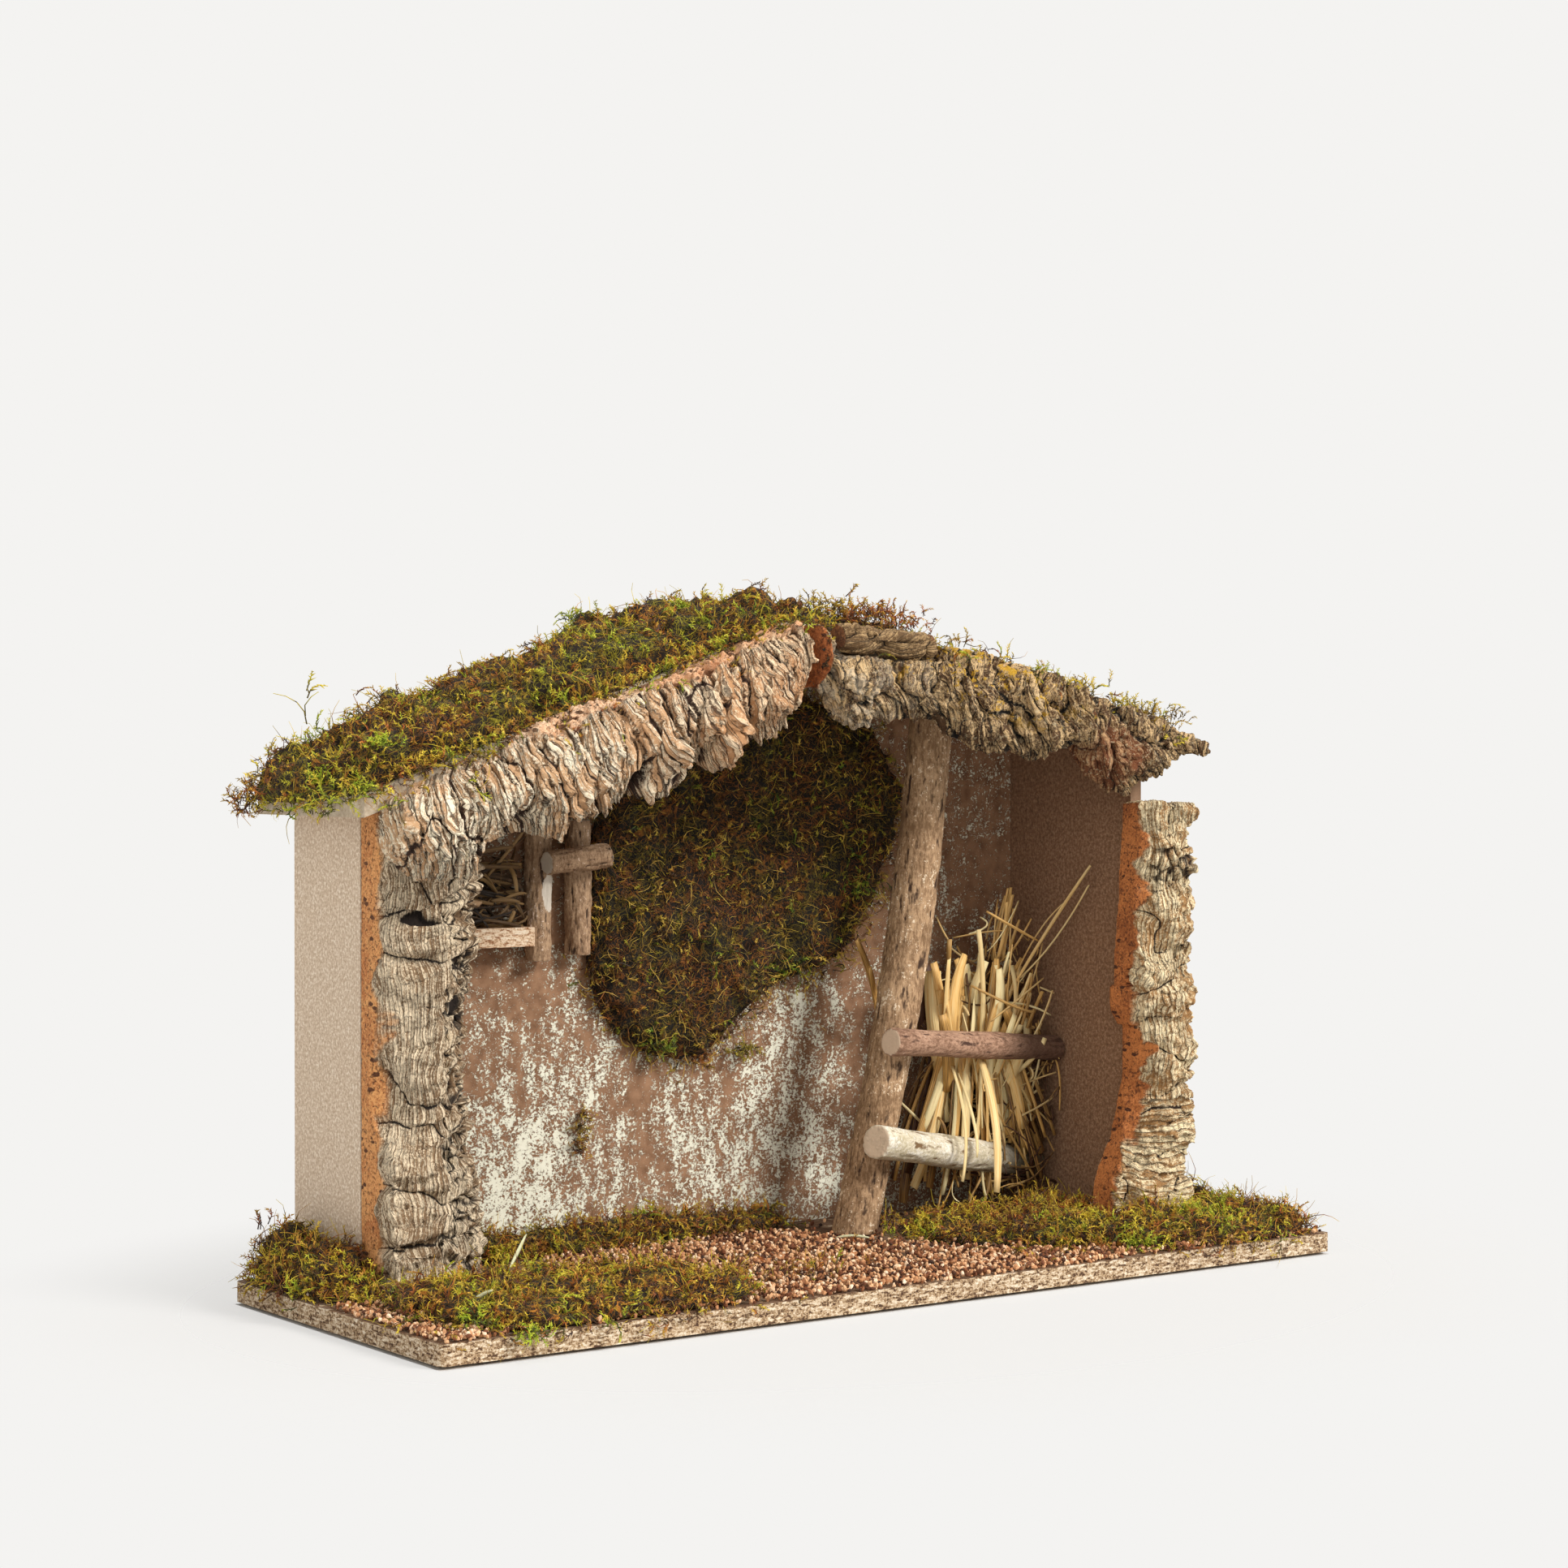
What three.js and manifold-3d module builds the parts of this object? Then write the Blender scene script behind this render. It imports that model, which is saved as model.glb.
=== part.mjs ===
// A cork nativity stable: a chipboard base, a back wall, two side walls and a lopsided gable roof, dressed with
// virgin cork bark, moss, cork granules, twigs and straw. Everything is glued, so nothing moves.
// Millimetres. X runs to the right, Y to the back and Z up. The origin is the centre of the base's underside.
import * as THREE from "three";
import { mergeVertices } from "three/addons/utils/BufferGeometryUtils.js";
import Module from "manifold-3d";

const wasm = await Module();
wasm.setup();

// Boards
const baseWidth = 500;
const baseDepth = 187;
const baseThick = 9;
const baseCornerRadius = 4;
const glueLine = 0.3;
const sideWallThick = 7;
const backWallThick = 5;
const leftMargin = 30;
const rightMargin = 46;
const leftWallDepth = 63;
const rightWallDepth = 99;

// Roof
const roofThick = 8;
const roofDepth = 101;
const ridgeFromLeftWall = 208;
const ridgeHeight = 306;
const leftEaveHeight = 226;
const rightEaveHeight = 252;
const leftOverhang = 18;
const rightOverhang = 10;

// Cork bark
const fasciaThick = 23;
const fasciaEdgeThick = 15;
const fasciaWidth = 46;
const leftFasciaFromEave = 9;
const rightFasciaPastEave = 10;
const leftFasciaFromRidge = 8;
const rightFasciaFromRidge = 3;
const leftColumnWidth = 54;
const leftColumnThick = 30;
const leftColumnHeight = 212;
const rightColumnWidth = 36;
const rightColumnThick = 28;
const rightColumnHeight = 211;
const rightColumnInset = 6;
const rightColumnFlare = 20;
const columnRimThick = 9;
const barkStepLength = 3.6;
const barkRows = 7;
const barkSwellPitch = 34;
const barkSwellHeight = 2.4;
const barkRidgePitch = 9.5;
const barkRidgeHeight = 1.5;
const ridgeRollLength = 54;
const ridgeRollRadius = 8.5;
const ridgeRollDrop = 4;
const ridgeRollFall = 3;
const ridgeRollStart = 14;

// Post, manger and loft
const postDiameter = 23;
const postFootFromRightWall = 140;
const postTopFromRightWall = 91;
const postFromBackWall = 48;
const postBow = 7;
const branchSides = 14;
const upperRailDiameter = 14;
const upperRailHeight = 103;
const upperRailFall = 11;
const upperRailFromBackWall = 38;
const upperRailOverhang = 20;
const lowerRailDiameter = 17;
const lowerRailHeight = 54;
const lowerRailFall = 24;
const lowerRailFromBackWall = 20;
const lowerRailOverhang = 21;
const shelfLength = 107;
const shelfDepth = 15;
const shelfThick = 9;
const shelfHeight = 154.5;
const loftPostDiameter = 13;
const leftLoftPostBottom = 147;
const leftLoftPostLength = 76;
const rightLoftPostBottom = 149;
const rightLoftPostLength = 64;
const loftPostSpacing = 22;
const lintelDiameter = 12;
const lintelLength = 34;
const lintelHeight = 195;
const lintelRise = 3;
const lintelOverhang = 3;
const hayHeight = 34;

// Straw
const strawWidth = 4.6;
const strawThick = 1.5;
const sheafStalks = 44;
const sheafHeight = 180;
const sheafHeadWidth = 74;
const sheafShortestHead = 140;
const sheafCoreHeight = 146;
const sheafWaistHeight = 122;
const sheafWaistWidth = 50;
const sheafFootWidth = 92;
const sheafFootRise = 22;
const sheafFromRightWall = 47;
const coreSides = 10;
const strawClearance = 2;

// Moss and granules
const roofMossThick = 22;
const roofMossOverhang = 11;
const rightRoofMossThick = 14;
const wallMossThick = 15;
const groundMossThick = 13;
const edgeMossThick = 22;
const wallFootMossThick = 11;
const granuleThick = 2.4;
const wallMossWidth = 188;
const frontLeftMossLength = 164;
const leftEndMossDepth = 86;
const wallFootMossDepth = 23;
const frontRightMossFromPost = 42;
const granulesFromRight = 114;
const granulesFromWall = 26;
const mossInset = 2;
const mossClearance = 3;
const mossSegments = 30;
const mossRoundness = 0.2;

// Places that follow from the sizes above
const leftEdge = -baseWidth / 2;
const rightEdge = baseWidth / 2;
const frontEdge = -baseDepth / 2;
const backEdge = baseDepth / 2;
const floor = baseThick + glueLine;
const leftWallOuter = leftEdge + leftMargin;
const leftWallInner = leftWallOuter + sideWallThick;
const leftWallFront = backEdge - leftWallDepth;
const rightWallOuter = rightEdge - rightMargin;
const rightWallInner = rightWallOuter - sideWallThick;
const rightWallFront = backEdge - rightWallDepth;
const backWallFront = backEdge - backWallThick;
const wallFace = backWallFront - glueLine;
const roofFront = backEdge - roofDepth;
const ridge = leftWallOuter + ridgeFromLeftWall;
const leftEave = leftWallOuter - leftOverhang;
const rightEave = rightWallOuter + rightOverhang;
const leftSlope = (ridgeHeight - leftEaveHeight) / (ridge - leftEave);
const rightSlope = (ridgeHeight - rightEaveHeight) / (rightEave - ridge);

const lerp = THREE.MathUtils.lerp;

function roofTop(x) {
  return x < ridge ? ridgeHeight - leftSlope * (ridge - x) : ridgeHeight - rightSlope * (x - ridge);
}

function roofUnder(x) {
  const slope = x < ridge ? leftSlope : rightSlope;
  return roofTop(x) - roofThick * Math.hypot(1, slope);
}

// A smooth line through a few [place, value] pairs, level at each of them.
function through(pairs) {
  return (place) => {
    let k = 1;
    while (k < pairs.length - 1 && place > pairs[k][0]) k += 1;
    const [startPlace, startValue] = pairs[k - 1];
    const [endPlace, endValue] = pairs[k];
    const share = THREE.MathUtils.smoothstep(place, startPlace, endPlace);
    return lerp(startValue, endValue, share);
  };
}

// A repeatable stream of numbers from 0 to 1.
function makeRandom(seed) {
  let state = seed;
  return () => {
    state = (state * 16807) % 2147483647;
    return state / 2147483647;
  };
}

function volumeOf(points, triangles) {
  const cross = new THREE.Vector3();
  let six = 0;
  for (const [a, b, c] of triangles) {
    six += points[a].dot(cross.crossVectors(points[b], points[c]));
  }
  return six / 6;
}

// A closed surface from points and triangles, with its faces turned to point outwards.
function closedSurface(points, triangles) {
  const inward = volumeOf(points, triangles) < 0;
  const index = triangles.flatMap(([a, b, c]) => (inward ? [a, c, b] : [a, b, c]));
  const geometry = new THREE.BufferGeometry().setFromPoints(points);
  geometry.setIndex(index);
  return geometry;
}

// A closed skin through rings of equally many points, with a cap at each end.
function loft(rings) {
  const count = rings[0].length;
  const points = rings.flat();
  const triangles = [];
  for (let i = 0; i + 1 < rings.length; i += 1) {
    for (let j = 0; j < count; j += 1) {
      const a = i * count + j;
      const b = i * count + ((j + 1) % count);
      triangles.push([a, b, b + count], [a, b + count, a + count]);
    }
  }
  const addCap = (ring, first, turned) => {
    const centre = ring.reduce((sum, p) => sum.add(p), new THREE.Vector3()).divideScalar(count);
    points.push(centre);
    for (let j = 0; j < count; j += 1) {
      const next = first + ((j + 1) % count);
      triangles.push(turned ? [points.length - 1, next, first + j] : [points.length - 1, first + j, next]);
    }
  };
  addCap(rings[0], 0, true);
  addCap(rings.at(-1), (rings.length - 1) * count, false);
  return closedSurface(points, triangles);
}

// A board whose outline is drawn in X and Z and whose thickness runs from front to back.
function uprightBoard(outline, front, back) {
  const shape = new THREE.Shape(outline.map(([x, z]) => new THREE.Vector2(x, z)));
  const geometry = new THREE.ExtrudeGeometry(shape, { depth: back - front, bevelEnabled: false });
  return geometry.rotateX(Math.PI / 2).translate(0, back, 0);
}

function toManifold(geometry) {
  const bare = geometry.clone();
  bare.deleteAttribute("normal");
  bare.deleteAttribute("uv");
  const merged = mergeVertices(bare, 1e-4);
  return new wasm.Manifold(
    new wasm.Mesh({
      numProp: 3,
      vertProperties: merged.attributes.position.array,
      triVerts: new Uint32Array(merged.index.array),
    }),
  );
}

// Several closed shapes joined into one solid. The pockets shut in between them are filled, so only the outer
// skin is kept.
function joined(geometries) {
  const whole = geometries.map(toManifold).reduce((sum, piece) => sum.add(piece));
  const skins = whole.decompose().sort((a, b) => b.volume() - a.volume());
  const mesh = skins[0].getMesh();
  const geometry = new THREE.BufferGeometry();
  geometry.setAttribute("position", new THREE.BufferAttribute(new Float32Array(mesh.vertProperties), 3));
  geometry.setIndex(new THREE.BufferAttribute(new Uint32Array(mesh.triVerts), 1));
  return geometry;
}

const stable = new THREE.Group();

function add(name, geometry, color, roughness) {
  const material = new THREE.MeshStandardMaterial({ color, roughness, metalness: 0 });
  const mesh = new THREE.Mesh(geometry, material);
  mesh.name = name;
  stable.add(mesh);
}

// The base board: a chipboard plate with softly rounded corners.
function baseBoard() {
  const x = baseWidth / 2;
  const y = baseDepth / 2;
  const r = baseCornerRadius;
  const shape = new THREE.Shape();
  shape.moveTo(-x + r, -y);
  shape.lineTo(x - r, -y);
  shape.absarc(x - r, -y + r, r, -Math.PI / 2, 0);
  shape.lineTo(x, y - r);
  shape.absarc(x - r, y - r, r, 0, Math.PI / 2);
  shape.lineTo(-x + r, y);
  shape.absarc(-x + r, y - r, r, Math.PI / 2, Math.PI);
  shape.lineTo(-x, -y + r);
  shape.absarc(-x + r, -y + r, r, Math.PI, Math.PI * 1.5);
  return new THREE.ExtrudeGeometry(shape, { depth: baseThick, bevelEnabled: false, curveSegments: 5 });
}

// A wall stands on the base and its top follows the underside of the roof.
function wall(left, right, front, back) {
  const turns = left < ridge && ridge < right ? [ridge] : [];
  const top = [right, ...turns, left].map((x) => [x, roofUnder(x) - glueLine]);
  return uprightBoard([[left, floor], [right, floor], ...top], front, back);
}

// A roof board runs from the eave to the ridge, where it meets the other one on an upright joint.
function roofBoard(from, to) {
  const outline = [
    [from, roofUnder(from)],
    [to, roofUnder(to)],
    [to, roofTop(to)],
    [from, roofTop(from)],
  ];
  return uprightBoard(outline, roofFront, backEdge);
}

// The weathered outer face of virgin cork: broad swellings, broken up by ridges across the slab.
function barkRelief(along, across, seed) {
  const drift = 1.6 * Math.sin(across / 12 + seed);
  const swell = Math.sin((2 * Math.PI * along) / barkSwellPitch + drift + seed);
  const knob = Math.sin(along / 6.3 - seed) * Math.cos(across / 5.2 + seed);
  const ridgeWave = Math.sin((2 * Math.PI * along) / barkRidgePitch + 2.2 * drift);
  return barkSwellHeight * (0.7 * swell + 0.5 * knob) + barkRidgeHeight * ridgeWave;
}

// A slab of cork, flat at the back where it is glued. low and high give its two long edges, edge gives the depth
// of the cut face along the low edge, and place puts a point of the slab into the stable.
function barkSlab({ from, to, low, high, edge, thick, highEdge, seed, place }) {
  const steps = Math.round(Math.abs(to - from) / barkStepLength);
  const rings = [];
  for (let i = 0; i <= steps; i += 1) {
    const along = lerp(from, to, i / steps);
    const ring = [];
    for (let j = 0; j <= barkRows; j += 1) {
      const share = j / barkRows;
      const across = lerp(low(along), high(along), share);
      const rim = lerp(edge(along), highEdge, share);
      const crown = Math.sin(Math.PI * share) ** 0.7;
      const relief = barkRelief(along, across, seed) * (0.35 + 0.65 * crown);
      ring.push(place(along, across, Math.max(2, lerp(rim, thick, crown) + relief)));
    }
    ring.push(place(along, high(along), 0), place(along, low(along), 0));
    rings.push(ring);
  }
  return loft(rings);
}

const fasciaBack = roofFront - glueLine;
const onFascia = (x, z, depth) => new THREE.Vector3(x, fasciaBack - depth, z);

// A profile along a slab, drawn as pairs from 0 to 1 of its length and shares of a size across it.
function profile(from, to, size, pairs) {
  const share = through(pairs);
  return (place) => size * share((place - from) / (to - from));
}

// The pale slab of the left slope. Its upper edge runs along the top of the roof board and it hangs down in lobes.
function leftFascia() {
  const from = leftEave + leftFasciaFromEave;
  const to = ridge - leftFasciaFromRidge;
  const lip = profile(from, to, fasciaWidth, [[0, -0.12], [0.2, -0.02], [0.4, 0.06], [0.62, 0], [1, 0.03]]);
  const drop = profile(from, to, fasciaWidth, [
    [0, 0.48], [0.03, 0.76], [0.07, 0.92], [0.12, 1.02], [0.19, 1.06], [0.22, 0.91], [0.3, 0.91], [0.39, 1.04],
    [0.42, 0.93], [0.53, 1], [0.7, 0.95], [0.77, 0.99], [0.8, 0.78], [0.84, 0.91], [0.88, 0.97], [0.95, 0.95],
    [1, 0.85],
  ]);
  return barkSlab({
    from,
    to,
    low: (x) => roofTop(x) - drop(x),
    high: (x) => roofTop(x) + lip(x),
    edge: () => fasciaEdgeThick * 0.7,
    thick: fasciaThick,
    highEdge: fasciaEdgeThick,
    seed: 1.7,
    place: onFascia,
  });
}

// The rolled piece of bark beside the ridge: nearly level, thickest in the middle, lying in a notch of the slab
// below it.
const rollFrom = ridge + ridgeRollStart;
const rollTo = rollFrom + ridgeRollLength;

function rollRadius(x) {
  const share = THREE.MathUtils.clamp((x - rollFrom) / ridgeRollLength, 0, 1);
  return ridgeRollRadius * (0.72 + 0.22 * Math.sin(Math.PI * share) + 0.06 * Math.sin(9 * share));
}

function rollHeight(x) {
  return roofTop(rollFrom) - ridgeRollDrop - (ridgeRollFall * (x - rollFrom)) / ridgeRollLength;
}

function ridgeRoll() {
  const steps = 12;
  const sides = 12;
  const rings = [];
  for (let i = 0; i <= steps; i += 1) {
    const x = lerp(rollFrom, rollTo, i / steps);
    const ring = [];
    for (let j = 0; j < sides; j += 1) {
      const turn = (2 * Math.PI * j) / sides;
      const radius = rollRadius(x) * (1 - 0.05 * (1 + Math.sin(3 * turn + x / 8)));
      const y = fasciaBack - fasciaThick / 2 - radius * Math.cos(turn) * 1.15;
      ring.push(new THREE.Vector3(x, y, rollHeight(x) + radius * Math.sin(turn)));
    }
    rings.push(ring);
  }
  return loft(rings);
}

// The dark slab of the right slope: notched at the ridge for the rolled piece, humped in the middle, with one
// lobe over the right wall and a point at the eave.
function rightFascia() {
  const from = ridge + rightFasciaFromRidge;
  const to = rightEave + rightFasciaPastEave;
  const lip = profile(from, to, fasciaWidth, [
    [0, -0.02], [0.05, -0.17], [0.26, 0.13], [0.35, 0.21], [0.4, 0.24], [0.56, 0.26], [0.65, 0.24], [0.74, 0.19],
    [0.93, 0.15], [0.98, 0.08], [1, 0.02],
  ]);
  const drop = profile(from, to, fasciaWidth, [
    [0, 0.66], [0.03, 0.6], [0.07, 0.88], [0.11, 0.9], [0.15, 0.73], [0.19, 0.7], [0.33, 0.58], [0.36, 0.68],
    [0.45, 0.74], [0.54, 0.63], [0.59, 0.69], [0.66, 0.48], [0.69, 0.4], [0.72, 0.56], [0.76, 0.66], [0.81, 0.74],
    [0.84, 0.66], [0.86, 0.5], [0.9, 0.43], [0.93, 0.34], [0.97, 0.24], [1, 0.13],
  ]);
  const high = (x) => {
    const edge = roofTop(x) + lip(x);
    const inNotch = x > rollFrom - barkStepLength && x < rollTo + barkStepLength;
    return inNotch ? Math.min(edge, rollHeight(x) - rollRadius(x) - glueLine) : edge;
  };
  return barkSlab({
    from,
    to,
    low: (x) => roofTop(x) - drop(x),
    high,
    edge: () => fasciaEdgeThick * 0.7,
    thick: fasciaThick,
    highEdge: fasciaEdgeThick,
    seed: 4.1,
    place: onFascia,
  });
}

// The grey slab on the front edge of the left wall. Its cut side is flush with the wall's outer face, and the
// bark wraps round it a third of the way up.
function leftColumn() {
  const from = floor;
  const to = floor + leftColumnHeight;
  const cutDepth = profile(from, to, leftColumnThick, [
    [0, 1.05], [0.28, 1], [0.31, 0.85], [0.35, 0.4], [0.4, 0.25], [0.46, 0.25], [0.52, 0.38], [0.6, 0.46],
    [0.65, 0.62], [0.79, 0.67], [0.86, 0.83], [1, 0.86],
  ]);
  const width = profile(from, to, leftColumnWidth, [
    [0, 1.06], [0.11, 1.06], [0.18, 1.03], [0.25, 0.99], [0.31, 0.96], [0.42, 0.92], [0.48, 0.89], [0.55, 0.94],
    [0.72, 1], [0.82, 0.99], [0.92, 1.04], [1, 1.02],
  ]);
  return barkSlab({
    from,
    to,
    low: () => leftWallOuter,
    high: (z) => leftWallOuter + width(z),
    edge: cutDepth,
    thick: leftColumnThick,
    highEdge: columnRimThick,
    seed: 0.4,
    place: (z, x, depth) => new THREE.Vector3(x, leftWallFront - glueLine - depth, z),
  });
}

// The cream slab on the front edge of the right wall. It stands in front of the wall's inner face and grows
// wider towards the foot.
function rightColumn() {
  const from = floor;
  const to = floor + rightColumnHeight;
  const flare = profile(from, to, rightColumnFlare, [
    [0, 1], [0.09, 0.98], [0.13, 0.85], [0.17, 0.64], [0.21, 0.4], [0.28, 0.2], [0.36, 0], [0.46, 0], [0.52, 0.3],
    [0.62, 0.3], [0.7, 0.22], [0.78, 0.14], [1, 0],
  ]);
  const width = profile(from, to, rightColumnWidth, [
    [0, 1.05], [0.09, 0.97], [0.15, 0.97], [0.21, 1.11], [0.25, 1.14], [0.32, 0.99], [0.4, 1.03], [0.48, 1.04],
    [0.55, 1.03], [0.59, 0.92], [0.64, 1.08], [0.71, 0.96], [0.78, 1.01], [0.86, 0.94], [0.93, 0.94], [0.97, 1.06],
    [1, 1.06],
  ]);
  const cutDepth = profile(from, to, rightColumnThick, [
    [0, 0.65], [0.13, 0.6], [0.21, 0.36], [0.25, 0.24], [0.32, 0.14], [0.36, 0.31], [0.4, 0.34], [0.46, 0.6],
    [0.55, 0.96], [0.62, 0.85], [0.7, 0.5], [0.78, 0.43], [0.86, 0.46], [1, 0.55],
  ]);
  const inner = rightWallInner - rightColumnInset;
  return barkSlab({
    from,
    to,
    low: (z) => inner - flare(z),
    high: (z) => inner + width(z),
    edge: cutDepth,
    thick: rightColumnThick,
    highEdge: columnRimThick,
    seed: 2.6,
    place: (z, x, depth) => new THREE.Vector3(x, rightWallFront - glueLine - depth, z),
  });
}

// The post leans to the right and bows a little. It stands on the base and its head is cut to the roof's slope.
const postRadius = postDiameter / 2;
const postY = backWallFront - postFromBackWall;
const postFootX = rightWallInner - postFootFromRightWall;
const postTopX = rightWallInner - postTopFromRightWall;

function postX(share) {
  return lerp(postFootX, postTopX, share) + postBow * Math.sin(Math.PI * share);
}

function leaningPost() {
  const steps = 16;
  const rings = [];
  for (let i = 0; i <= steps; i += 1) {
    const share = i / steps;
    const ring = [];
    for (let j = 0; j < branchSides; j += 1) {
      const turn = (2 * Math.PI * j) / branchSides;
      const rough = 1 - 0.035 * (1 + Math.sin(2 * turn + 11 * share));
      const x = postX(share) + postRadius * rough * Math.cos(turn);
      const y = postY + postRadius * rough * Math.sin(turn);
      ring.push(new THREE.Vector3(x, y, lerp(floor, roofUnder(x) - glueLine, share)));
    }
    rings.push(ring);
  }
  return loft(rings);
}

// A sawn length of branch between two points, a little uneven, never thicker than its diameter.
function branch(start, end, diameter, seed) {
  const axis = end.clone().sub(start);
  const steps = Math.max(4, Math.round(axis.length() / 14));
  const geometry = new THREE.CylinderGeometry(diameter / 2, diameter / 2, axis.length(), branchSides, steps);
  const position = geometry.attributes.position;
  const point = new THREE.Vector3();
  for (let i = 0; i < position.count; i += 1) {
    point.fromBufferAttribute(position, i);
    const turn = Math.atan2(point.z, point.x);
    const rough = 1 - 0.035 * (1 + Math.sin(2 * turn + point.y / 13 + seed));
    position.setXYZ(i, point.x * rough, point.y, point.z * rough);
  }
  const upright = new THREE.Vector3(0, 1, 0);
  geometry.applyQuaternion(new THREE.Quaternion().setFromUnitVectors(upright, axis.clone().normalize()));
  const middle = start.clone().add(end).divideScalar(2);
  return geometry.translate(middle.x, middle.y, middle.z);
}

// A manger rail lies against the front of the post, sticks out past it and runs back to the right wall. The line
// is moved forward until its bark just clears the post's.
function railEnds({ diameter, height, fall, fromBackWall, overhang }) {
  const radius = diameter / 2;
  const share = (height - floor) / (roofUnder(postX(0.5)) - floor);
  const postAxis = new THREE.Vector3(postX(share + 0.05) - postX(share - 0.05), 0, 0.1 * (roofUnder(postTopX) - floor));
  const atPost = new THREE.Vector3(postX(share), postY - postRadius - radius, height);
  const atWall = new THREE.Vector3(rightWallInner, backWallFront - fromBackWall, height - fall);
  for (let pass = 0; pass < 6; pass += 1) {
    const normal = atWall.clone().sub(atPost).cross(postAxis).normalize();
    atPost.y = postY - (postRadius + radius + glueLine) / Math.abs(normal.y);
  }
  const direction = atWall.clone().sub(atPost).normalize();
  const endDrop = glueLine + radius * Math.hypot(direction.y, direction.z);
  const end = atWall.clone().addScaledVector(direction, -endDrop / direction.x);
  const start = atPost.clone().addScaledVector(direction, -overhang / direction.x);
  return { start, end, direction, atPost, radius };
}

const upperRail = railEnds({
  diameter: upperRailDiameter,
  height: upperRailHeight,
  fall: upperRailFall,
  fromBackWall: upperRailFromBackWall,
  overhang: upperRailOverhang,
});
const lowerRail = railEnds({
  diameter: lowerRailDiameter,
  height: lowerRailHeight,
  fall: lowerRailFall,
  fromBackWall: lowerRailFromBackWall,
  overhang: lowerRailOverhang,
});

// The Y of the back of a rail at a given X.
function behindRail(rail, x) {
  const run = (x - rail.atPost.x) / rail.direction.x;
  return rail.atPost.y + run * rail.direction.y + rail.radius / rail.direction.x;
}

// A flattened straw stalk through a few points, cut level at both ends.
function stalk(points, roll) {
  const wide = new THREE.Vector3(Math.cos(roll), Math.sin(roll), 0).multiplyScalar(strawWidth / 2);
  const thin = new THREE.Vector3(-Math.sin(roll), Math.cos(roll), 0).multiplyScalar(strawThick / 2);
  const corners = [[1, 1], [-1, 1], [-1, -1], [1, -1]];
  const rings = points.map((p) =>
    corners.map(([u, v]) => p.clone().addScaledVector(wide, u).addScaledVector(thin, v)),
  );
  return loft(rings);
}

// The room for straw at a given X: from the back of whichever rail reaches further back, to the wall.
function strawRoom(x) {
  const reach = strawClearance + strawWidth / 2;
  const front = Math.max(behindRail(lowerRail, x), behindRail(upperRail, x)) + reach;
  return { front, back: wallFace - reach };
}

// The sheaf stands on the base behind the two rails. It is narrowest above the upper rail, and its stalks fan out
// from there to the head and to the foot, round a packed core. None leaves the room between rails and walls.
function strawSheaf() {
  const random = makeRandom(71);
  const right = rightWallInner - strawClearance - strawWidth / 2;
  const waistX = rightWallInner - sheafFromRightWall;
  const spot = (x, depthShare, z) => {
    const inside = Math.min(x, right);
    const { front, back } = strawRoom(inside);
    return new THREE.Vector3(inside, lerp(front, back, depthShare), z);
  };
  const coreRing = (halfWidth, z) => {
    const ring = [];
    for (let j = 0; j < coreSides; j += 1) {
      const turn = (2 * Math.PI * j) / coreSides;
      ring.push(spot(waistX + halfWidth * Math.cos(turn), 0.5 + 0.4 * Math.sin(turn), z));
    }
    return ring;
  };
  const waist = sheafWaistWidth / 2;
  const foot = sheafFootWidth / 2;
  const head = sheafHeadWidth / 2;
  const pieces = [
    loft([
      coreRing(foot * 0.7, floor),
      coreRing(waist * 0.8, sheafWaistHeight),
      coreRing(waist * 0.7, sheafCoreHeight),
    ]),
  ];
  for (let k = 0; k < sheafStalks; k += 1) {
    const side = 2 * ((k + 0.5) / sheafStalks) - 1;
    const deep = 0.1 + 0.8 * random();
    const stray = random() - 0.5;
    const footZ = floor + sheafFootRise * random();
    const headZ = lerp(sheafShortestHead, sheafHeight, random());
    const points = [
      spot(waistX + (side + 0.3 * stray) * foot, deep, footZ),
      spot(waistX + side * waist * 0.9, lerp(deep, 0.5, 0.3), sheafWaistHeight),
      spot(waistX + (side + 0.7 * stray) * head, lerp(deep, 0.5, 0.2), headZ),
    ];
    pieces.push(stalk(points, Math.PI * random()));
  }
  return joined(pieces);
}

// The loft: a chipboard strip on the back wall between the left wall and a twig, which stands with a second twig
// under a short crosspiece.
const loftPostRadius = loftPostDiameter / 2;
const shelfLeft = leftWallInner + glueLine;
const shelfRight = shelfLeft + shelfLength;
const loftPostY = wallFace - loftPostRadius;
const leftLoftPostX = shelfRight + glueLine + loftPostRadius;
const rightLoftPostX = leftLoftPostX + loftPostSpacing;

function loftShelf() {
  const geometry = new THREE.BoxGeometry(shelfLength, shelfDepth, shelfThick);
  return geometry.translate(shelfLeft + shelfLength / 2, wallFace - shelfDepth / 2, shelfHeight + shelfThick / 2);
}

function loftPost(x, bottom, length, seed) {
  const foot = new THREE.Vector3(x, loftPostY, bottom);
  return branch(foot, foot.clone().setZ(bottom + length), loftPostDiameter, seed);
}

function loftLintel() {
  const y = loftPostY - loftPostRadius - glueLine - lintelDiameter / 2;
  const start = new THREE.Vector3(leftLoftPostX - lintelOverhang, y, lintelHeight - lintelRise / 2);
  const end = new THREE.Vector3(leftLoftPostX - lintelOverhang + lintelLength, y, lintelHeight + lintelRise / 2);
  return branch(start, end, lintelDiameter, 5);
}

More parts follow.
